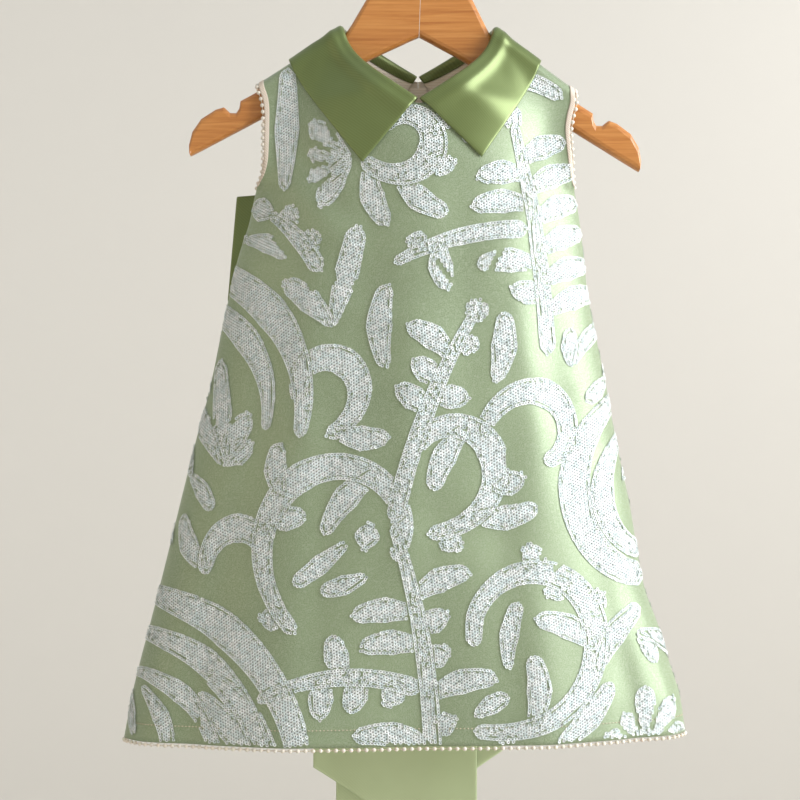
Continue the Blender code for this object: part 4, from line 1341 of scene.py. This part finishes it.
def bias_binding():
    """Pinkish beige bias binding: a fine cotton weave with diagonal ribs 0.5 mm apart."""
    made, tree, shader = blank_material("beige_bias_binding", Roughness=0.75)
    shader.inputs["Sheen Weight"].default_value = 0.15
    place = add(tree, "ShaderNodeTexCoord").outputs["Object"]
    ribs = add(tree, "ShaderNodeTexWave", {"Vector": place, "Scale": PER_METRE / 0.5 / WAVE_SPAN,
                                            "Distortion": 0.5}, bands_direction="DIAGONAL")
    tone = add(tree, "ShaderNodeMix", {
        FACTOR: ribs.outputs["Fac"], FIRST: linear("#d2c2b0"), SECOND: linear("#e9ddcf"),
    }, data_type="RGBA")
    tree.links.new(tone.outputs[MIXED], shader.inputs["Base Color"])
    bump = add(tree, "ShaderNodeBump", {"Height": ribs.outputs["Fac"], "Distance": 0.0001})
    tree.links.new(bump.outputs["Normal"], shader.inputs["Normal"])
    return made


pearl_nacre = glass_pearl()
string_cotton = cotton_thread()
binding_cotton = bias_binding()
ball_points, ball_faces = round_ball(PEARL_RADIUS)


def pearl_string(node_name, line, step, reference, seed):
    """Pearls a step apart on a thread round a closed line, in place of the CAD tube."""
    dice = np.random.default_rng(seed)
    parts = []
    for centre in even_points(line, step):
        size = 1 - PEARL_UNEVEN * dice.random()
        parts.append((centre + ball_points * size, ball_faces))
    pearls = mesh_piece(node_name + "_beads", *joined(parts), [pearl_nacre])
    thread_line = even_points(line, STRING_STEP)
    string = mesh_piece(node_name + "_string",
                        *tube_mesh(thread_line, STRING_RADIUS, STRING_SIDES, reference, True),
                        [string_cotton])
    for piece in (pearls, string):
        in_frame(piece, node_name)


def along_row(row_points, distance):
    """The point of a grid row at a distance from its first point."""
    return at_marks(row_points, run_along(row_points), distance)


def armhole_sections(hand):
    """Round an armhole, up the front and down the back: grid rows running inwards from the
    edge, each with the cloth's outward normal there."""
    sections = []
    for side, grid_name in ((FRONT, "dress_front"), (BACK, "dress_back")):
        grid = grids[grid_name]
        normals = outward_normals(grid, np.array([0, side, 0]))
        found = []
        for row in range(PANEL_ROWS):
            line = grid[row] if hand < 0 else grid[row, ::-1]
            facing = normals[row, 2 if hand < 0 else -3]  # clear of the edge's own curl
            if line[0][2] > SHOULDER_Z - UNDERARM_DROP - 0.5:
                found.append((line, facing))
        sections += found if side == FRONT else found[::-1]
    return sections


def edge_binding(hand, word):
    """The folded strip over an armhole's edge."""
    rows = []
    for line, facing in armhole_sections(hand):
        edge = line[0]
        out = edge - along_row(line, EDGE_PROBE)
        out /= np.linalg.norm(out)
        row = [along_row(line, d) + facing * BINDING_LIFT for d in BINDING_OUTSIDE]
        for turn in BINDING_TURNS:
            middle = edge - facing * CLOTH_THICKNESS / 2
            high = math.cos(turn) * (BINDING_LIFT + CLOTH_THICKNESS / 2)
            row.append(middle + facing * high + out * math.sin(turn) * BINDING_LIFT)
        behind = CLOTH_THICKNESS + BINDING_LIFT
        row += [along_row(line, d) - facing * behind for d in BINDING_INSIDE]
        rows.append(row)
    piece = shell_piece(f"armhole_binding_{word}", np.array(rows), BINDING_WALL,
                        [binding_cotton], np.array([hand, 0, 0]))
    in_frame(piece)


def armhole_middle(hand):
    """The line of pearl centres round an armhole."""
    line = []
    for row_line, facing in armhole_sections(hand):
        edge = row_line[0] - facing * CLOTH_THICKNESS / 2
        out = row_line[0] - along_row(row_line, EDGE_PROBE)
        out[0] = hand * max(abs(out[0]), PEARL_OUT_LEAST)
        out /= np.linalg.norm(out)
        line.append(edge + out * PEARL_FROM_EDGE)
    return np.array(line)


def hem_middle():
    """The line of pearl centres under the hem, along the front and back along the back."""
    front = grids["dress_front"][0] + np.array([0, CLOTH_THICKNESS / 2, 0])
    back = grids["dress_back"][0] - np.array([0, CLOTH_THICKNESS / 2, 0])
    line = np.concatenate([front[1:-1], back[-2:0:-1]])
    return line - np.array([0, 0, PEARL_FROM_EDGE])


def hem_stitches():
    """Short level stitches through the cloth, all round above the hem."""
    parts = []
    for side, grid_name in ((FRONT, "dress_front"), (BACK, "dress_back")):
        share = np.linspace(-STITCH_REACH, STITCH_REACH, STITCH_LINE_POINTS)
        heights = [hem_z(u) + STITCH_ABOVE_HEM for u in share]
        line = np.array([surface(x_across(u, SHOULDER_Z - z), z, side)
                         for u, z in zip(share, heights)])
        line += np.array([0, side * STITCH_RADIUS * STITCH_LIFT, 0])
        run = run_along(line)
        for mark in np.arange(STITCH_STEP, run[-1] - STITCH_STEP, STITCH_STEP):
            marks = mark + np.linspace(-1, 1, 3) * STITCH_HALF_LENGTH
            stitch = at_marks(line, run, marks)
            parts.append(tube_mesh(stitch, STITCH_RADIUS, STITCH_SIDES, (0, 0, 1), False))
    piece = mesh_piece("hem_stitches", *joined(parts), [string_cotton])
    in_frame(piece)


for hand, word in HANDS:
    edge_binding(hand, word)
    pearl_string("armhole_pearls_" + word, armhole_middle(hand), ARMHOLE_PEARL_STEP, (1, 0, 0),
                 seed=11 + hand)
pearl_string("hem_pearls", hem_middle(), HEM_PEARL_STEP, (0, 0, 1), seed=17)
hem_stitches()


# Collar: two pointed halves of green duchess satin, each folded over a low stand, with a
# rolled edge that has no top stitching. Both are sheets about a middle line that runs up
# the stand, round the fold and down the fall, and their walls close to a round edge.

COLLARS = {
    # hand: point's distance from the middle, its reach in front and behind, x at the shoulder
    -1: (40.5, 118.0, 101.0, -99.5),
    1: (45.0, 111.5, 101.0, 84.5),
}
COLLAR_WALL = 1.2
INSIDE_GAP = 1.0
CAD_WALL = 1.1
COLLAR_EDGE_ROUND = 16.0
COLLAR_PART = 1.1
COLLAR_LIFT = 1.1
COLLAR_INSET = 0.9
COLLAR_RIDGE_LIFT = 0.6
COLLAR_ROLL = 0.9
COLLAR_EAVE = 1.0
FOLD_REACH = 2.0
FOLD_FLATTEN = 0.8
FOLD_STEPS = 9
STAND_SIDE = {FRONT: 7.5, BACK: 4.0}
ROLL_SWELL = {-1: 1.7, 1: 1.1}
ROLL_SWELL_PLACE = 0.13
ROLL_SWELL_WIDTH = 0.11
ROLL_SWELL_RISE = 8
ROLL_FADE = 2.5
COLLAR_FOLD_RISE = 4
SHOULDER_FADE = 4
STAND_SHARES = (1.0, 0.66, 0.33, 0.0)
STAND_FRONT = 3.0
STAND_BACK = 2.0
STAND_LEAST = 1.5
STAND_END_SHARE = 0.12
STAND_END_CUT = 0.25
COLLAR_END_CLEAR = 2.0
COLLAR_EASE = 1.6
COLLAR_SHARES = [0.0, 0.012, 0.03, *np.linspace(0.05, 0.95, 34), 0.97, 0.988, 1.0]
FALL_SHARES = [*np.linspace(0.0, 0.95, 24), 0.972, 0.99, 1.0]
COLLAR_FOLDS = {
    # place round the half (0 front, 1 shoulder, 2 back), down the fall, widths, slant, height
    -1: [(0.30, 0.55, 0.07, 0.45, 0.25, 1.1), (0.62, 0.70, 0.08, 0.40, -0.20, 0.9),
         (0.86, 0.40, 0.06, 0.35, 0.15, 0.8), (1.35, 0.60, 0.10, 0.45, 0.20, 1.0),
         (1.70, 0.50, 0.08, 0.40, -0.15, 0.8)],
    1: [(0.26, 0.50, 0.08, 0.50, 0.22, 0.7), (0.52, 0.65, 0.08, 0.40, -0.18, 0.6),
        (0.80, 0.50, 0.08, 0.40, 0.20, 0.4), (1.30, 0.55, 0.10, 0.45, -0.20, 1.0),
        (1.66, 0.50, 0.08, 0.40, 0.15, 0.8)],
}


class CollarEdge:
    """The collar's outer edge in pattern places, from its point to the shoulder."""

    def __init__(self, hand, side):
        out, front_reach, back_reach, self.corner_x = COLLARS[hand]
        self.point_x = NECK_CENTRE_X + hand * out
        self.reach = front_reach if side == FRONT else back_reach
        self.lean = (self.point_x - self.corner_x) / self.run(self.reach)

    @staticmethod
    def run(reach):
        """The edge's run for a reach, eased where it crosses the shoulder."""
        return math.hypot(reach, COLLAR_EDGE_ROUND) - COLLAR_EDGE_ROUND

    def x_at(self, reach):
        """The edge's x at a distance from the ridge."""
        return self.corner_x + self.lean * self.run(reach)


def collar_section(hand, side, share):
    """Pattern places on the neckline and the outer edge, and the stand's depth; the share
    is 0 at the shoulder and 1 at the centre."""
    neck = NECKS[hand, side]
    edge = CollarEdge(hand, side)
    part = COLLAR_PART if side == FRONT else COLLAR_PART / 2
    top_reach = neck.middle_reach - (part + COLLAR_INSET + COLLAR_END_CLEAR) / abs(neck.lean)
    eased = share ** COLLAR_EASE
    neck_reach = top_reach * eased
    edge_reach = edge.reach * eased
    stand_end = STAND_FRONT if side == FRONT else STAND_BACK
    stand = stand_end + (STAND_SIDE[side] - stand_end) * math.sin(math.pi * share) ** 0.5
    if share < STAND_END_SHARE:
        stand *= STAND_END_CUT
    return (np.array([neck.x_at(neck_reach) - hand * COLLAR_INSET, -side * neck_reach]),
            np.array([edge.x_at(edge_reach), -side * edge_reach]),
            max(stand, STAND_LEAST))


def offset_place(place, away):
    """The point at a pattern place, lifted off the face."""
    return over_shoulder(*place) + normal_over_shoulder(*place) * away


def collar_folds(hand, around, down):
    """Soft uneven swells in the fall."""
    total = 0.0
    for place, reach, wide, long, slant, height in COLLAR_FOLDS[hand]:
        off = (around - place - slant * (down - reach)) / wide
        total += height * math.exp(-off * off - ((down - reach) / long) ** 2)
    return total


def collar_line(hand, side, share):
    """The middle of the collar's cloth in one section: stand, fold, then fall."""
    neck, edge, stand = collar_section(hand, side, share)
    around = 1 - share if side == FRONT else 1 + share
    length = np.linalg.norm(edge - neck)
    along = (edge - neck) / length
    inside = -(CAD_WALL + INSIDE_GAP + COLLAR_WALL / 2)
    near_ridge = math.exp(-((edge[1] / RIDGE_REACH) ** 2))
    outside = COLLAR_LIFT + COLLAR_RIDGE_LIFT * near_ridge + COLLAR_WALL / 2
    line = [offset_place(neck + along * stand * up, inside) for up in STAND_SHARES]
    start = over_shoulder(*neck)
    facing = normal_over_shoulder(*neck)
    fall = over_shoulder(*(neck + along * FOLD_REACH)) - start
    fall /= np.linalg.norm(fall)
    middle = (inside + outside + COLLAR_ROLL) / 2
    radius = (outside + COLLAR_ROLL - inside) / 2
    for i in range(1, FOLD_STEPS):
        angle = math.pi * i / FOLD_STEPS - math.pi / 2
        along_fall = -COLLAR_EAVE - radius * FOLD_FLATTEN * math.cos(angle)
        line.append(start + fall * along_fall + facing * (middle + radius * math.sin(angle)))
    for down in FALL_SHARES:
        away = outside + COLLAR_ROLL * (1 - smooth(down * ROLL_FADE))
        away += collar_folds(hand, around, down) * smooth(down * COLLAR_FOLD_RISE)
        off = (down - ROLL_SWELL_PLACE) / ROLL_SWELL_WIDTH
        swell = ROLL_SWELL[hand] * math.exp(-off * off) * smooth(down * ROLL_SWELL_RISE)
        away += swell * smooth(abs(1 - around) * SHOULDER_FADE)
        line.append(offset_place(neck + along * length * down, away))
    return line


def rounded_sheet(name, middle, wall, materials):
    """A closed sheet about a grid of its middle points, whose wall closes at every edge."""
    rows, columns = middle.shape[:2]
    normals = grid_normals(middle)
    half = np.full((rows, columns), wall / 2)
    for depth, share in ((1, 0.85), (0, 0.3)):  # the outermost row last
        half[depth] = half[-1 - depth] = wall / 2 * share
        half[:, depth] = half[:, -1 - depth] = wall / 2 * share
    outer = middle + normals * half[:, :, None]
    inner = middle - normals * half[:, :, None]
    faces = walled_faces(middle, normals, 1)
    points = np.concatenate([outer.reshape(-1, 3), inner.reshape(-1, 3)])
    return mesh_piece(name, points, faces, materials)


def duchess_satin(name, deep, light, floats):
    """Green duchess satin: its long floats give a strong broad sheen in the cloth's own
    colour, over a fine warp rib 0.25 mm wide that is drawn at 0.6 mm to show."""
    made, tree, shader = blank_material(name, Roughness=0.35, Metallic=0.45)
    shader.inputs["Sheen Weight"].default_value = 0.15
    shader.inputs["Sheen Roughness"].default_value = 0.3
    shader.inputs["Specular IOR Level"].default_value = 0.7
    place = add(tree, "ShaderNodeTexCoord").outputs["Object"]
    ribs = add(tree, "ShaderNodeTexWave", {"Vector": place, "Scale": PER_METRE / 0.6 / WAVE_SPAN,
                                            "Distortion": 1.2, "Detail": 2.0},
               bands_direction="DIAGONAL")
    cloud = add(tree, "ShaderNodeTexNoise", {"Vector": place, "Scale": 16.0, "Detail": 3.0})
    dye = add(tree, "ShaderNodeMix", {
        FACTOR: cloud.outputs["Fac"], FIRST: linear(deep), SECOND: linear(light),
    }, data_type="RGBA")
    float_tone = add(tree, "ShaderNodeMix", {
        FACTOR: ribs.outputs["Fac"], FIRST: dye.outputs[MIXED], SECOND: linear(floats),
    }, data_type="RGBA")
    weave = add(tree, "ShaderNodeMix", {
        FACTOR: 0.15, FIRST: dye.outputs[MIXED], SECOND: float_tone.outputs[MIXED],
    }, data_type="RGBA")
    tree.links.new(weave.outputs[MIXED], shader.inputs["Base Color"])
    bump = add(tree, "ShaderNodeBump", {"Height": ribs.outputs["Fac"], "Distance": 0.000006})
    tree.links.new(bump.outputs["Normal"], shader.inputs["Normal"])
    return made


satin_cloth = duchess_satin("green_duchess_satin", "#5f6c39", "#7a8b54", "#9cae78")
for hand, word in HANDS:
    sections = [collar_line(hand, FRONT, share) for share in COLLAR_SHARES[::-1]]
    sections += [collar_line(hand, BACK, share) for share in COLLAR_SHARES[1:]]
    piece = rounded_sheet(f"collar_{word}_satin", np.array(sections), COLLAR_WALL, [satin_cloth])
    in_frame(piece, "collar_" + word)


# Inside of the back neck: a cream cotton lining left and right of the centre-back opening,
# a placket behind it, and a pearl button with a thread loop that close it. The two linings
# and the placket are plain woven sheets that follow the back.

LINING_WALL = 1.0
LINING_DEPTH = 40.0
LINING_UNDER_STAND = 0.4
LINING_FIRST_SHARE = 0.3
LINING_SHARES = [0.0, 0.02, *np.linspace(0.06, 0.94, 18), 0.98, 1.0]
PLACKET_WIDTH = 12.5
PLACKET_LENGTH = 88.0
PLACKET_DROP = 4.0
PLACKET_INSET = 4.2
PLACKET_DOWN = [0.0, 0.01, *np.linspace(0.03, 0.97, 40), 0.99, 1.0]
PLACKET_ACROSS = np.array([-0.5, -0.46, *np.linspace(-0.4, 0.4, 9), 0.46, 0.5])
BUTTON_RADIUS = 3.8
BUTTON_HEIGHT = 2.4
BUTTON_DROP = 19.0
BUTTON_FROM_MIDDLE = 4.8
BUTTON_SEAT = 0.6
BUTTON_SIDES = 32
BUTTON_PROFILE = [
    # share of the radius, share of the height
    (0.0, 0.0), (0.70, 0.0), (0.90, 0.10), (0.99, 0.32), (1.0, 0.55), (0.95, 0.80),
    (0.84, 0.96), (0.70, 1.0), (0.58, 0.90), (0.50, 0.78), (0.0, 0.74),
]
LOOP_WIRE_RADIUS = 0.6
LOOP_HALF_WIDTH = 8.2
LOOP_HALF_HEIGHT = 5.4
LOOP_SHIFT = 2.6
LOOP_POINTS = 48
LOOP_SIDES = 8


def back_neck_lining(hand, word):
    """One half of the lining, from the collar's stand down."""
    middle = []
    away = -(CAD_WALL + INSIDE_GAP + LINING_WALL / 2)
    for share in [s for s in COLLAR_SHARES if s >= LINING_FIRST_SHARE]:
        neck, edge, stand = collar_section(hand, BACK, share)
        along = (edge - neck) / np.linalg.norm(edge - neck)
        line = []
        for down in LINING_SHARES:
            depth = stand + LINING_UNDER_STAND + (LINING_DEPTH - stand) * down
            line.append(offset_place(neck + along * depth, away))
        middle.append(line)
    piece = rounded_sheet(f"neck_lining_{word}_cloth", np.array(middle), LINING_WALL,
                          [lining_cloth])
    in_frame(piece, "neck_lining_" + word)


def back_placket():
    """The strip behind the centre-back opening."""
    middle = []
    for down in PLACKET_DOWN:
        z = NECK_MIDDLE_Z[BACK] - PLACKET_DROP - PLACKET_LENGTH * down
        places = NECK_CENTRE_X + PLACKET_WIDTH * PLACKET_ACROSS
        middle.append([surface(x, z, BACK) - np.array([0, PLACKET_INSET, 0]) for x in places])
    piece = rounded_sheet("placket_cloth", np.array(middle), LINING_WALL, [lining_cloth])
    in_frame(piece, "placket")


def pearl_button(x, z):
    """A shallow dished button on the right back, with its thread loop round it."""
    seat = surface(x, z, BACK) + np.array([0, BUTTON_SEAT, 0])
    points = []
    for width, height in BUTTON_PROFILE:
        for i in range(BUTTON_SIDES):
            turn = 2 * math.pi * i / BUTTON_SIDES
            across = BUTTON_RADIUS * width
            points.append(seat + np.array([math.cos(turn) * across, height * BUTTON_HEIGHT,
                                           math.sin(turn) * across]))
    faces = []
    for row in range(len(BUTTON_PROFILE) - 1):
        for i in range(BUTTON_SIDES):
            beside = (i + 1) % BUTTON_SIDES
            a, b = row * BUTTON_SIDES, (row + 1) * BUTTON_SIDES
            faces.append((a + i, a + beside, b + beside, b + i))
    button = mesh_piece("pearl_button", points, faces, [pearl_nacre])
    loop = []
    for i in range(LOOP_POINTS):
        turn = 2 * math.pi * i / LOOP_POINTS
        off = np.array([0, LOOP_WIRE_RADIUS + BUTTON_SEAT, 0])
        loop.append(surface(x - LOOP_SHIFT + LOOP_HALF_WIDTH * math.cos(turn),
                            z + LOOP_HALF_HEIGHT * math.sin(turn), BACK) + off)
    thread = mesh_piece("button_loop_thread",
                        *tube_mesh(loop, LOOP_WIRE_RADIUS, LOOP_SIDES, (0, 1, 0), True),
                        [string_cotton])
    for piece, node_name, slot_name in ((button, "button", "pearl"),
                                        (thread, "button_loop", "thread")):
        in_frame(piece, node_name)


for hand, word in HANDS:
    back_neck_lining(hand, word)
back_placket()
pearl_button(NECK_CENTRE_X + BUTTON_FROM_MIDDLE, NECK_MIDDLE_Z[BACK] - BUTTON_DROP)


# Bow and sash: a wide satin sash tied behind the waist in a bow, gathered into pleats at a
# wrapped knot, with two long tails that hang below the hem and are cut on a slant. Loops
# and tails are rounded sheets; the knot is one soft wrapped block.

BOW_WALL = 1.4
BOW_X = -13.0
BOW_Z = -275.0
BOW_LOOPS = [
    # node, side, reach, half height at the knot, half height at the tip, droop, slant of the tip
    ("bow_loop_left", -1, 136.0, 17.0, 40.0, 5.0, 7.0),
    ("bow_loop_right", 1, 118.0, 17.0, 40.0, 16.0, 7.0),
]
BOW_STAND_OFF = 2.2
BOW_FULLNESS = 11.0
BOW_SWEEP = 7.0
BOW_PLEAT = 1.8
BOW_PLEATS = 2.5
BOW_ROUND = 0.75
BOW_PINCH = 0.22
BOW_CREASE = 1.1
BOW_CREASES = 5.3
BOW_CREASE_TURN = 1.7
BOW_STEPS = 73
BOW_OPENS = 0.9
BOW_SPREADS = 1.15
BOW_PLEAT_FADE = 1.3
BOW_DROOPS = 1.5
KNOT_WIDTH = 30.0
KNOT_TALL = 44.0
KNOT_DEPTH = 22.0
KNOT_END = 0.3
KNOT_BULGE = 3.5
KNOT_SQUARE = 0.75
KNOT_FOLD = 0.8
KNOT_FOLDS = 7.5
KNOT_FOLD_LEAN = 0.9
SASH_TAILS = [
    # node, top x, left end x, left end z, right end x, right end z, lift off the back
    ("sash_tail_front", -19.0, -85.5, -679.0, 41.0, -759.5, 1.6),
    ("sash_tail_back", -7.0, -68.0, -757.0, 60.5, -667.0, 5.6),
]
SASH_TOP_HALF = 12.0
SASH_FLARE_DROP = 230.0
SASH_FLARES = 0.8
SASH_GATHER_FADE = 0.75
SASH_CLEARS_KNOT = 6
SASH_FOLD = 2.6
SASH_FOLDS = 2.2
SASH_FOLD_LIFT = 0.35
SASH_UNDER_KNOT = 0.6
SASH_BEHIND_KNOT = 5.2
SASH_INWARD = 0.02
SASH_SHARES = [0.0, 0.004, *np.linspace(0.012, 0.988, 84), 0.996, 1.0]
BAND_SHARES = [-1.0, -0.985, *np.linspace(-0.95, 0.95, 31), 0.985, 1.0]


def back_y(x, z):
    """The back's depth."""
    return surface(x, z, BACK)[1]


def bow_loop(node_name, hand, reach, knot_half, tip_half, droop, slant):
    """A loop gathered at the knot and open above and below, creased from its pleats."""
    knot_y = back_y(BOW_X, BOW_Z) + BOW_STAND_OFF + KNOT_DEPTH / 2
    middle = []
    for turn in np.linspace(0, math.pi, BOW_STEPS):
        out = min(math.sin(turn), 1.0) ** BOW_ROUND if turn < math.pi else 0.0
        open_share = BOW_PINCH + (1 - BOW_PINCH) * math.sin(math.pi * min(out, 1.0) ** BOW_OPENS)
        spread = math.cos(turn) * open_share * BOW_FULLNESS
        half = knot_half + (tip_half - knot_half) * smooth(out * BOW_SPREADS)
        band = []
        for across in BAND_SHARES:
            run = KNOT_WIDTH / 2 + SEAM_GAP + (reach - KNOT_WIDTH / 2) * out
            x = BOW_X + hand * (run - slant * out * (1 + across) / 2)
            pleat = BOW_PLEAT * math.cos(across * math.pi * BOW_PLEATS)
            pleat *= 1 - smooth(out * BOW_PLEAT_FADE)
            crease = BOW_CREASE * math.sin(across * BOW_CREASES + out * BOW_CREASE_TURN + hand)
            crease *= smooth(out * 3) * smooth((1 - out) * 2.2)
            z = BOW_Z + across * half - droop * out**BOW_DROOPS
            y = knot_y - BOW_SWEEP * out - spread + math.copysign(pleat + crease, -spread) / 2
            band.append(np.array([x, y, z]))
        middle.append(band)
    piece = rounded_sheet(node_name + "_satin", np.array(middle), BOW_WALL, [satin_cloth])
    in_frame(piece, node_name)


def bow_knot():
    """The wrapped knot: full in the middle, drawn in at both ends, with upright folds."""
    columns = 64
    rows = 40
    centre = np.array([BOW_X, back_y(BOW_X, BOW_Z) + BOW_STAND_OFF + KNOT_DEPTH / 2, BOW_Z])
    points = []
    for i in range(rows):
        height = math.sin(math.pi * (i / (rows - 1) - 0.5))
        girth = KNOT_END + (1 - KNOT_END) * math.sqrt(1 - abs(height) ** KNOT_BULGE)
        for j in range(columns):
            angle = 2 * math.pi * j / columns
            across = math.copysign(abs(math.cos(angle)) ** KNOT_SQUARE, math.cos(angle))
            depth = math.copysign(abs(math.sin(angle)) ** KNOT_SQUARE, math.sin(angle))
            folds = KNOT_FOLD * math.cos(across * KNOT_FOLDS + height * KNOT_FOLD_LEAN)
            folds *= 1 - abs(across) ** 3
            deep = depth * (girth * KNOT_DEPTH / 2 - KNOT_FOLD - folds * girth)
            points.append(centre + np.array([across * girth * KNOT_WIDTH / 2, deep,
                                             height * KNOT_TALL / 2]))
    faces = [(i * columns + j, i * columns + (j + 1) % columns,
              (i + 1) * columns + (j + 1) % columns, (i + 1) * columns + j)
             for i in range(rows - 1) for j in range(columns)]
    faces += [tuple(range(columns - 1, -1, -1)), tuple(range((rows - 1) * columns, rows * columns))]
    piece = mesh_piece("bow_knot_satin", points, faces, [satin_cloth])
    in_frame(piece, "bow_knot")


def sash_tail(node_name, top_x, left_x, left_z, right_x, right_z, lift):
    """A tail, gathered under the knot, spreading down the back to a slanted cut."""
    top = BOW_Z - KNOT_TALL / 2 - SASH_UNDER_KNOT
    hem = SHOULDER_Z - HEM_DROP
    middle = []
    for down in SASH_SHARES:
        line = []
        for across in BAND_SHARES:
            end_x = left_x + (right_x - left_x) * (across + 1) / 2
            end_z = left_z + (right_z - left_z) * (across + 1) / 2
            z = top + (end_z - top) * down
            flare = smooth((top - z) / SASH_FLARE_DROP) ** SASH_FLARES
            narrow_x = top_x + across * SASH_TOP_HALF
            x = narrow_x + (end_x - narrow_x) * flare
            gather = SASH_FOLD * (1 - flare * SASH_GATHER_FADE)
            gather *= math.cos(across * math.pi * SASH_FOLDS)
            clear = lift + BOW_WALL / 2 + SASH_FOLD_LIFT * (SASH_FOLD + gather)
            clear += SASH_BEHIND_KNOT * (1 - smooth(down * SASH_CLEARS_KNOT))
            y = back_y(x, max(z, hem)) + clear - SASH_INWARD * max(hem - z, 0.0)
            line.append(np.array([x, y, z]))
        middle.append(line)
    piece = rounded_sheet(node_name + "_satin", np.array(middle), BOW_WALL,
                          [satin_cloth, paler_lit_satin_copy])
    # Faces turned to the dress take the satin painted paler: painted light, as these faces show lit
    # below the hem.
    for face in piece.data.polygons:
        face.material_index = int(face.normal.y < 0)
    in_frame(piece, node_name)


# The same satin painted paler, on the faces of the tails that look at the dress and show below
# the hem: painted light for the brighter light that these faces catch.
paler_lit_satin_copy = duchess_satin("satin_painted_paler_as_lit", "#b5c795", "#d0dfb4", "#dfebc8")
for row in BOW_LOOPS:
    bow_loop(*row)
bow_knot()
for row in SASH_TAILS:
    sash_tail(*row)


# Hanger: two halves of honey-varnished wood glued at the middle, with a small steel ferrule
# and a swivelling steel hook. The CAD shapes are right, so they stay and take materials.


def varnished_wood(name, lean):
    """Honey-coloured hardwood under a clear semi-gloss varnish: the grain runs along each
    arm, fine and darker every 3 mm, with small pores and a little wear in the gloss."""
    made, tree, shader = blank_material(name, Roughness=0.35)
    shader.inputs["Coat Weight"].default_value = 0.4
    shader.inputs["Coat Roughness"].default_value = 0.2
    place = add(tree, "ShaderNodeTexCoord").outputs["Object"]
    along = add(tree, "ShaderNodeMapping", {"Vector": place, "Rotation": (0, lean, 0),
                                             "Scale": (14.0, 220.0, 330.0)})
    grain = add(tree, "ShaderNodeTexNoise", {"Vector": along.outputs["Vector"], "Scale": 1.0,
                                             "Detail": 6.0, "Roughness": 0.65,
                                             "Distortion": 0.4})
    shade = add(tree, "ShaderNodeValToRGB", {"Fac": grain.outputs["Fac"]})
    shade.color_ramp.elements[0].position = 0.30
    shade.color_ramp.elements[0].color = linear("#ad6a30")
    shade.color_ramp.elements[1].position = 0.72
    shade.color_ramp.elements[1].color = linear("#d29450")
    middle = shade.color_ramp.elements.new(0.5)
    middle.color = linear("#c17f3e")
    tree.links.new(shade.outputs["Color"], shader.inputs["Base Color"])
    worn = add(tree, "ShaderNodeMapRange", {"Value": grain.outputs["Fac"], "To Min": 0.28,
                                            "To Max": 0.5})
    tree.links.new(worn.outputs["Result"], shader.inputs["Roughness"])
    bump = add(tree, "ShaderNodeBump", {"Height": grain.outputs["Fac"], "Distance": 0.00012})
    tree.links.new(bump.outputs["Normal"], shader.inputs["Normal"])
    return made


def hook_steel():
    """Nickel-plated steel wire: bright, with fine drawing marks that break the gloss."""
    made, tree, shader = blank_material("nickel_plated_steel", Metallic=1.0)
    place = add(tree, "ShaderNodeTexCoord").outputs["Object"]
    marks = add(tree, "ShaderNodeTexNoise", {"Vector": place, "Scale": 900.0, "Detail": 4.0})
    plate = add(tree, "ShaderNodeMix", {
        FACTOR: marks.outputs["Fac"], FIRST: linear("#a5a5a0"), SECOND: linear("#cfcec8"),
    }, data_type="RGBA")
    tree.links.new(plate.outputs[MIXED], shader.inputs["Base Color"])
    gloss = add(tree, "ShaderNodeMapRange", {"Value": marks.outputs["Fac"], "To Min": 0.15,
                                             "To Max": 0.35})
    tree.links.new(gloss.outputs["Result"], shader.inputs["Roughness"])
    return made


wire_steel = hook_steel()
HANGER_FINISHES = {
    "hanger_left": varnished_wood("varnished_wood_left", -0.62),
    "hanger_right": varnished_wood("varnished_wood_right", 0.70),
    "hook_ferrule": wire_steel,
    "hanger_hook": wire_steel,
}
for node_name, finish in HANGER_FINISHES.items():
    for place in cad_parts[node_name].material_slots:
        place.material = finish
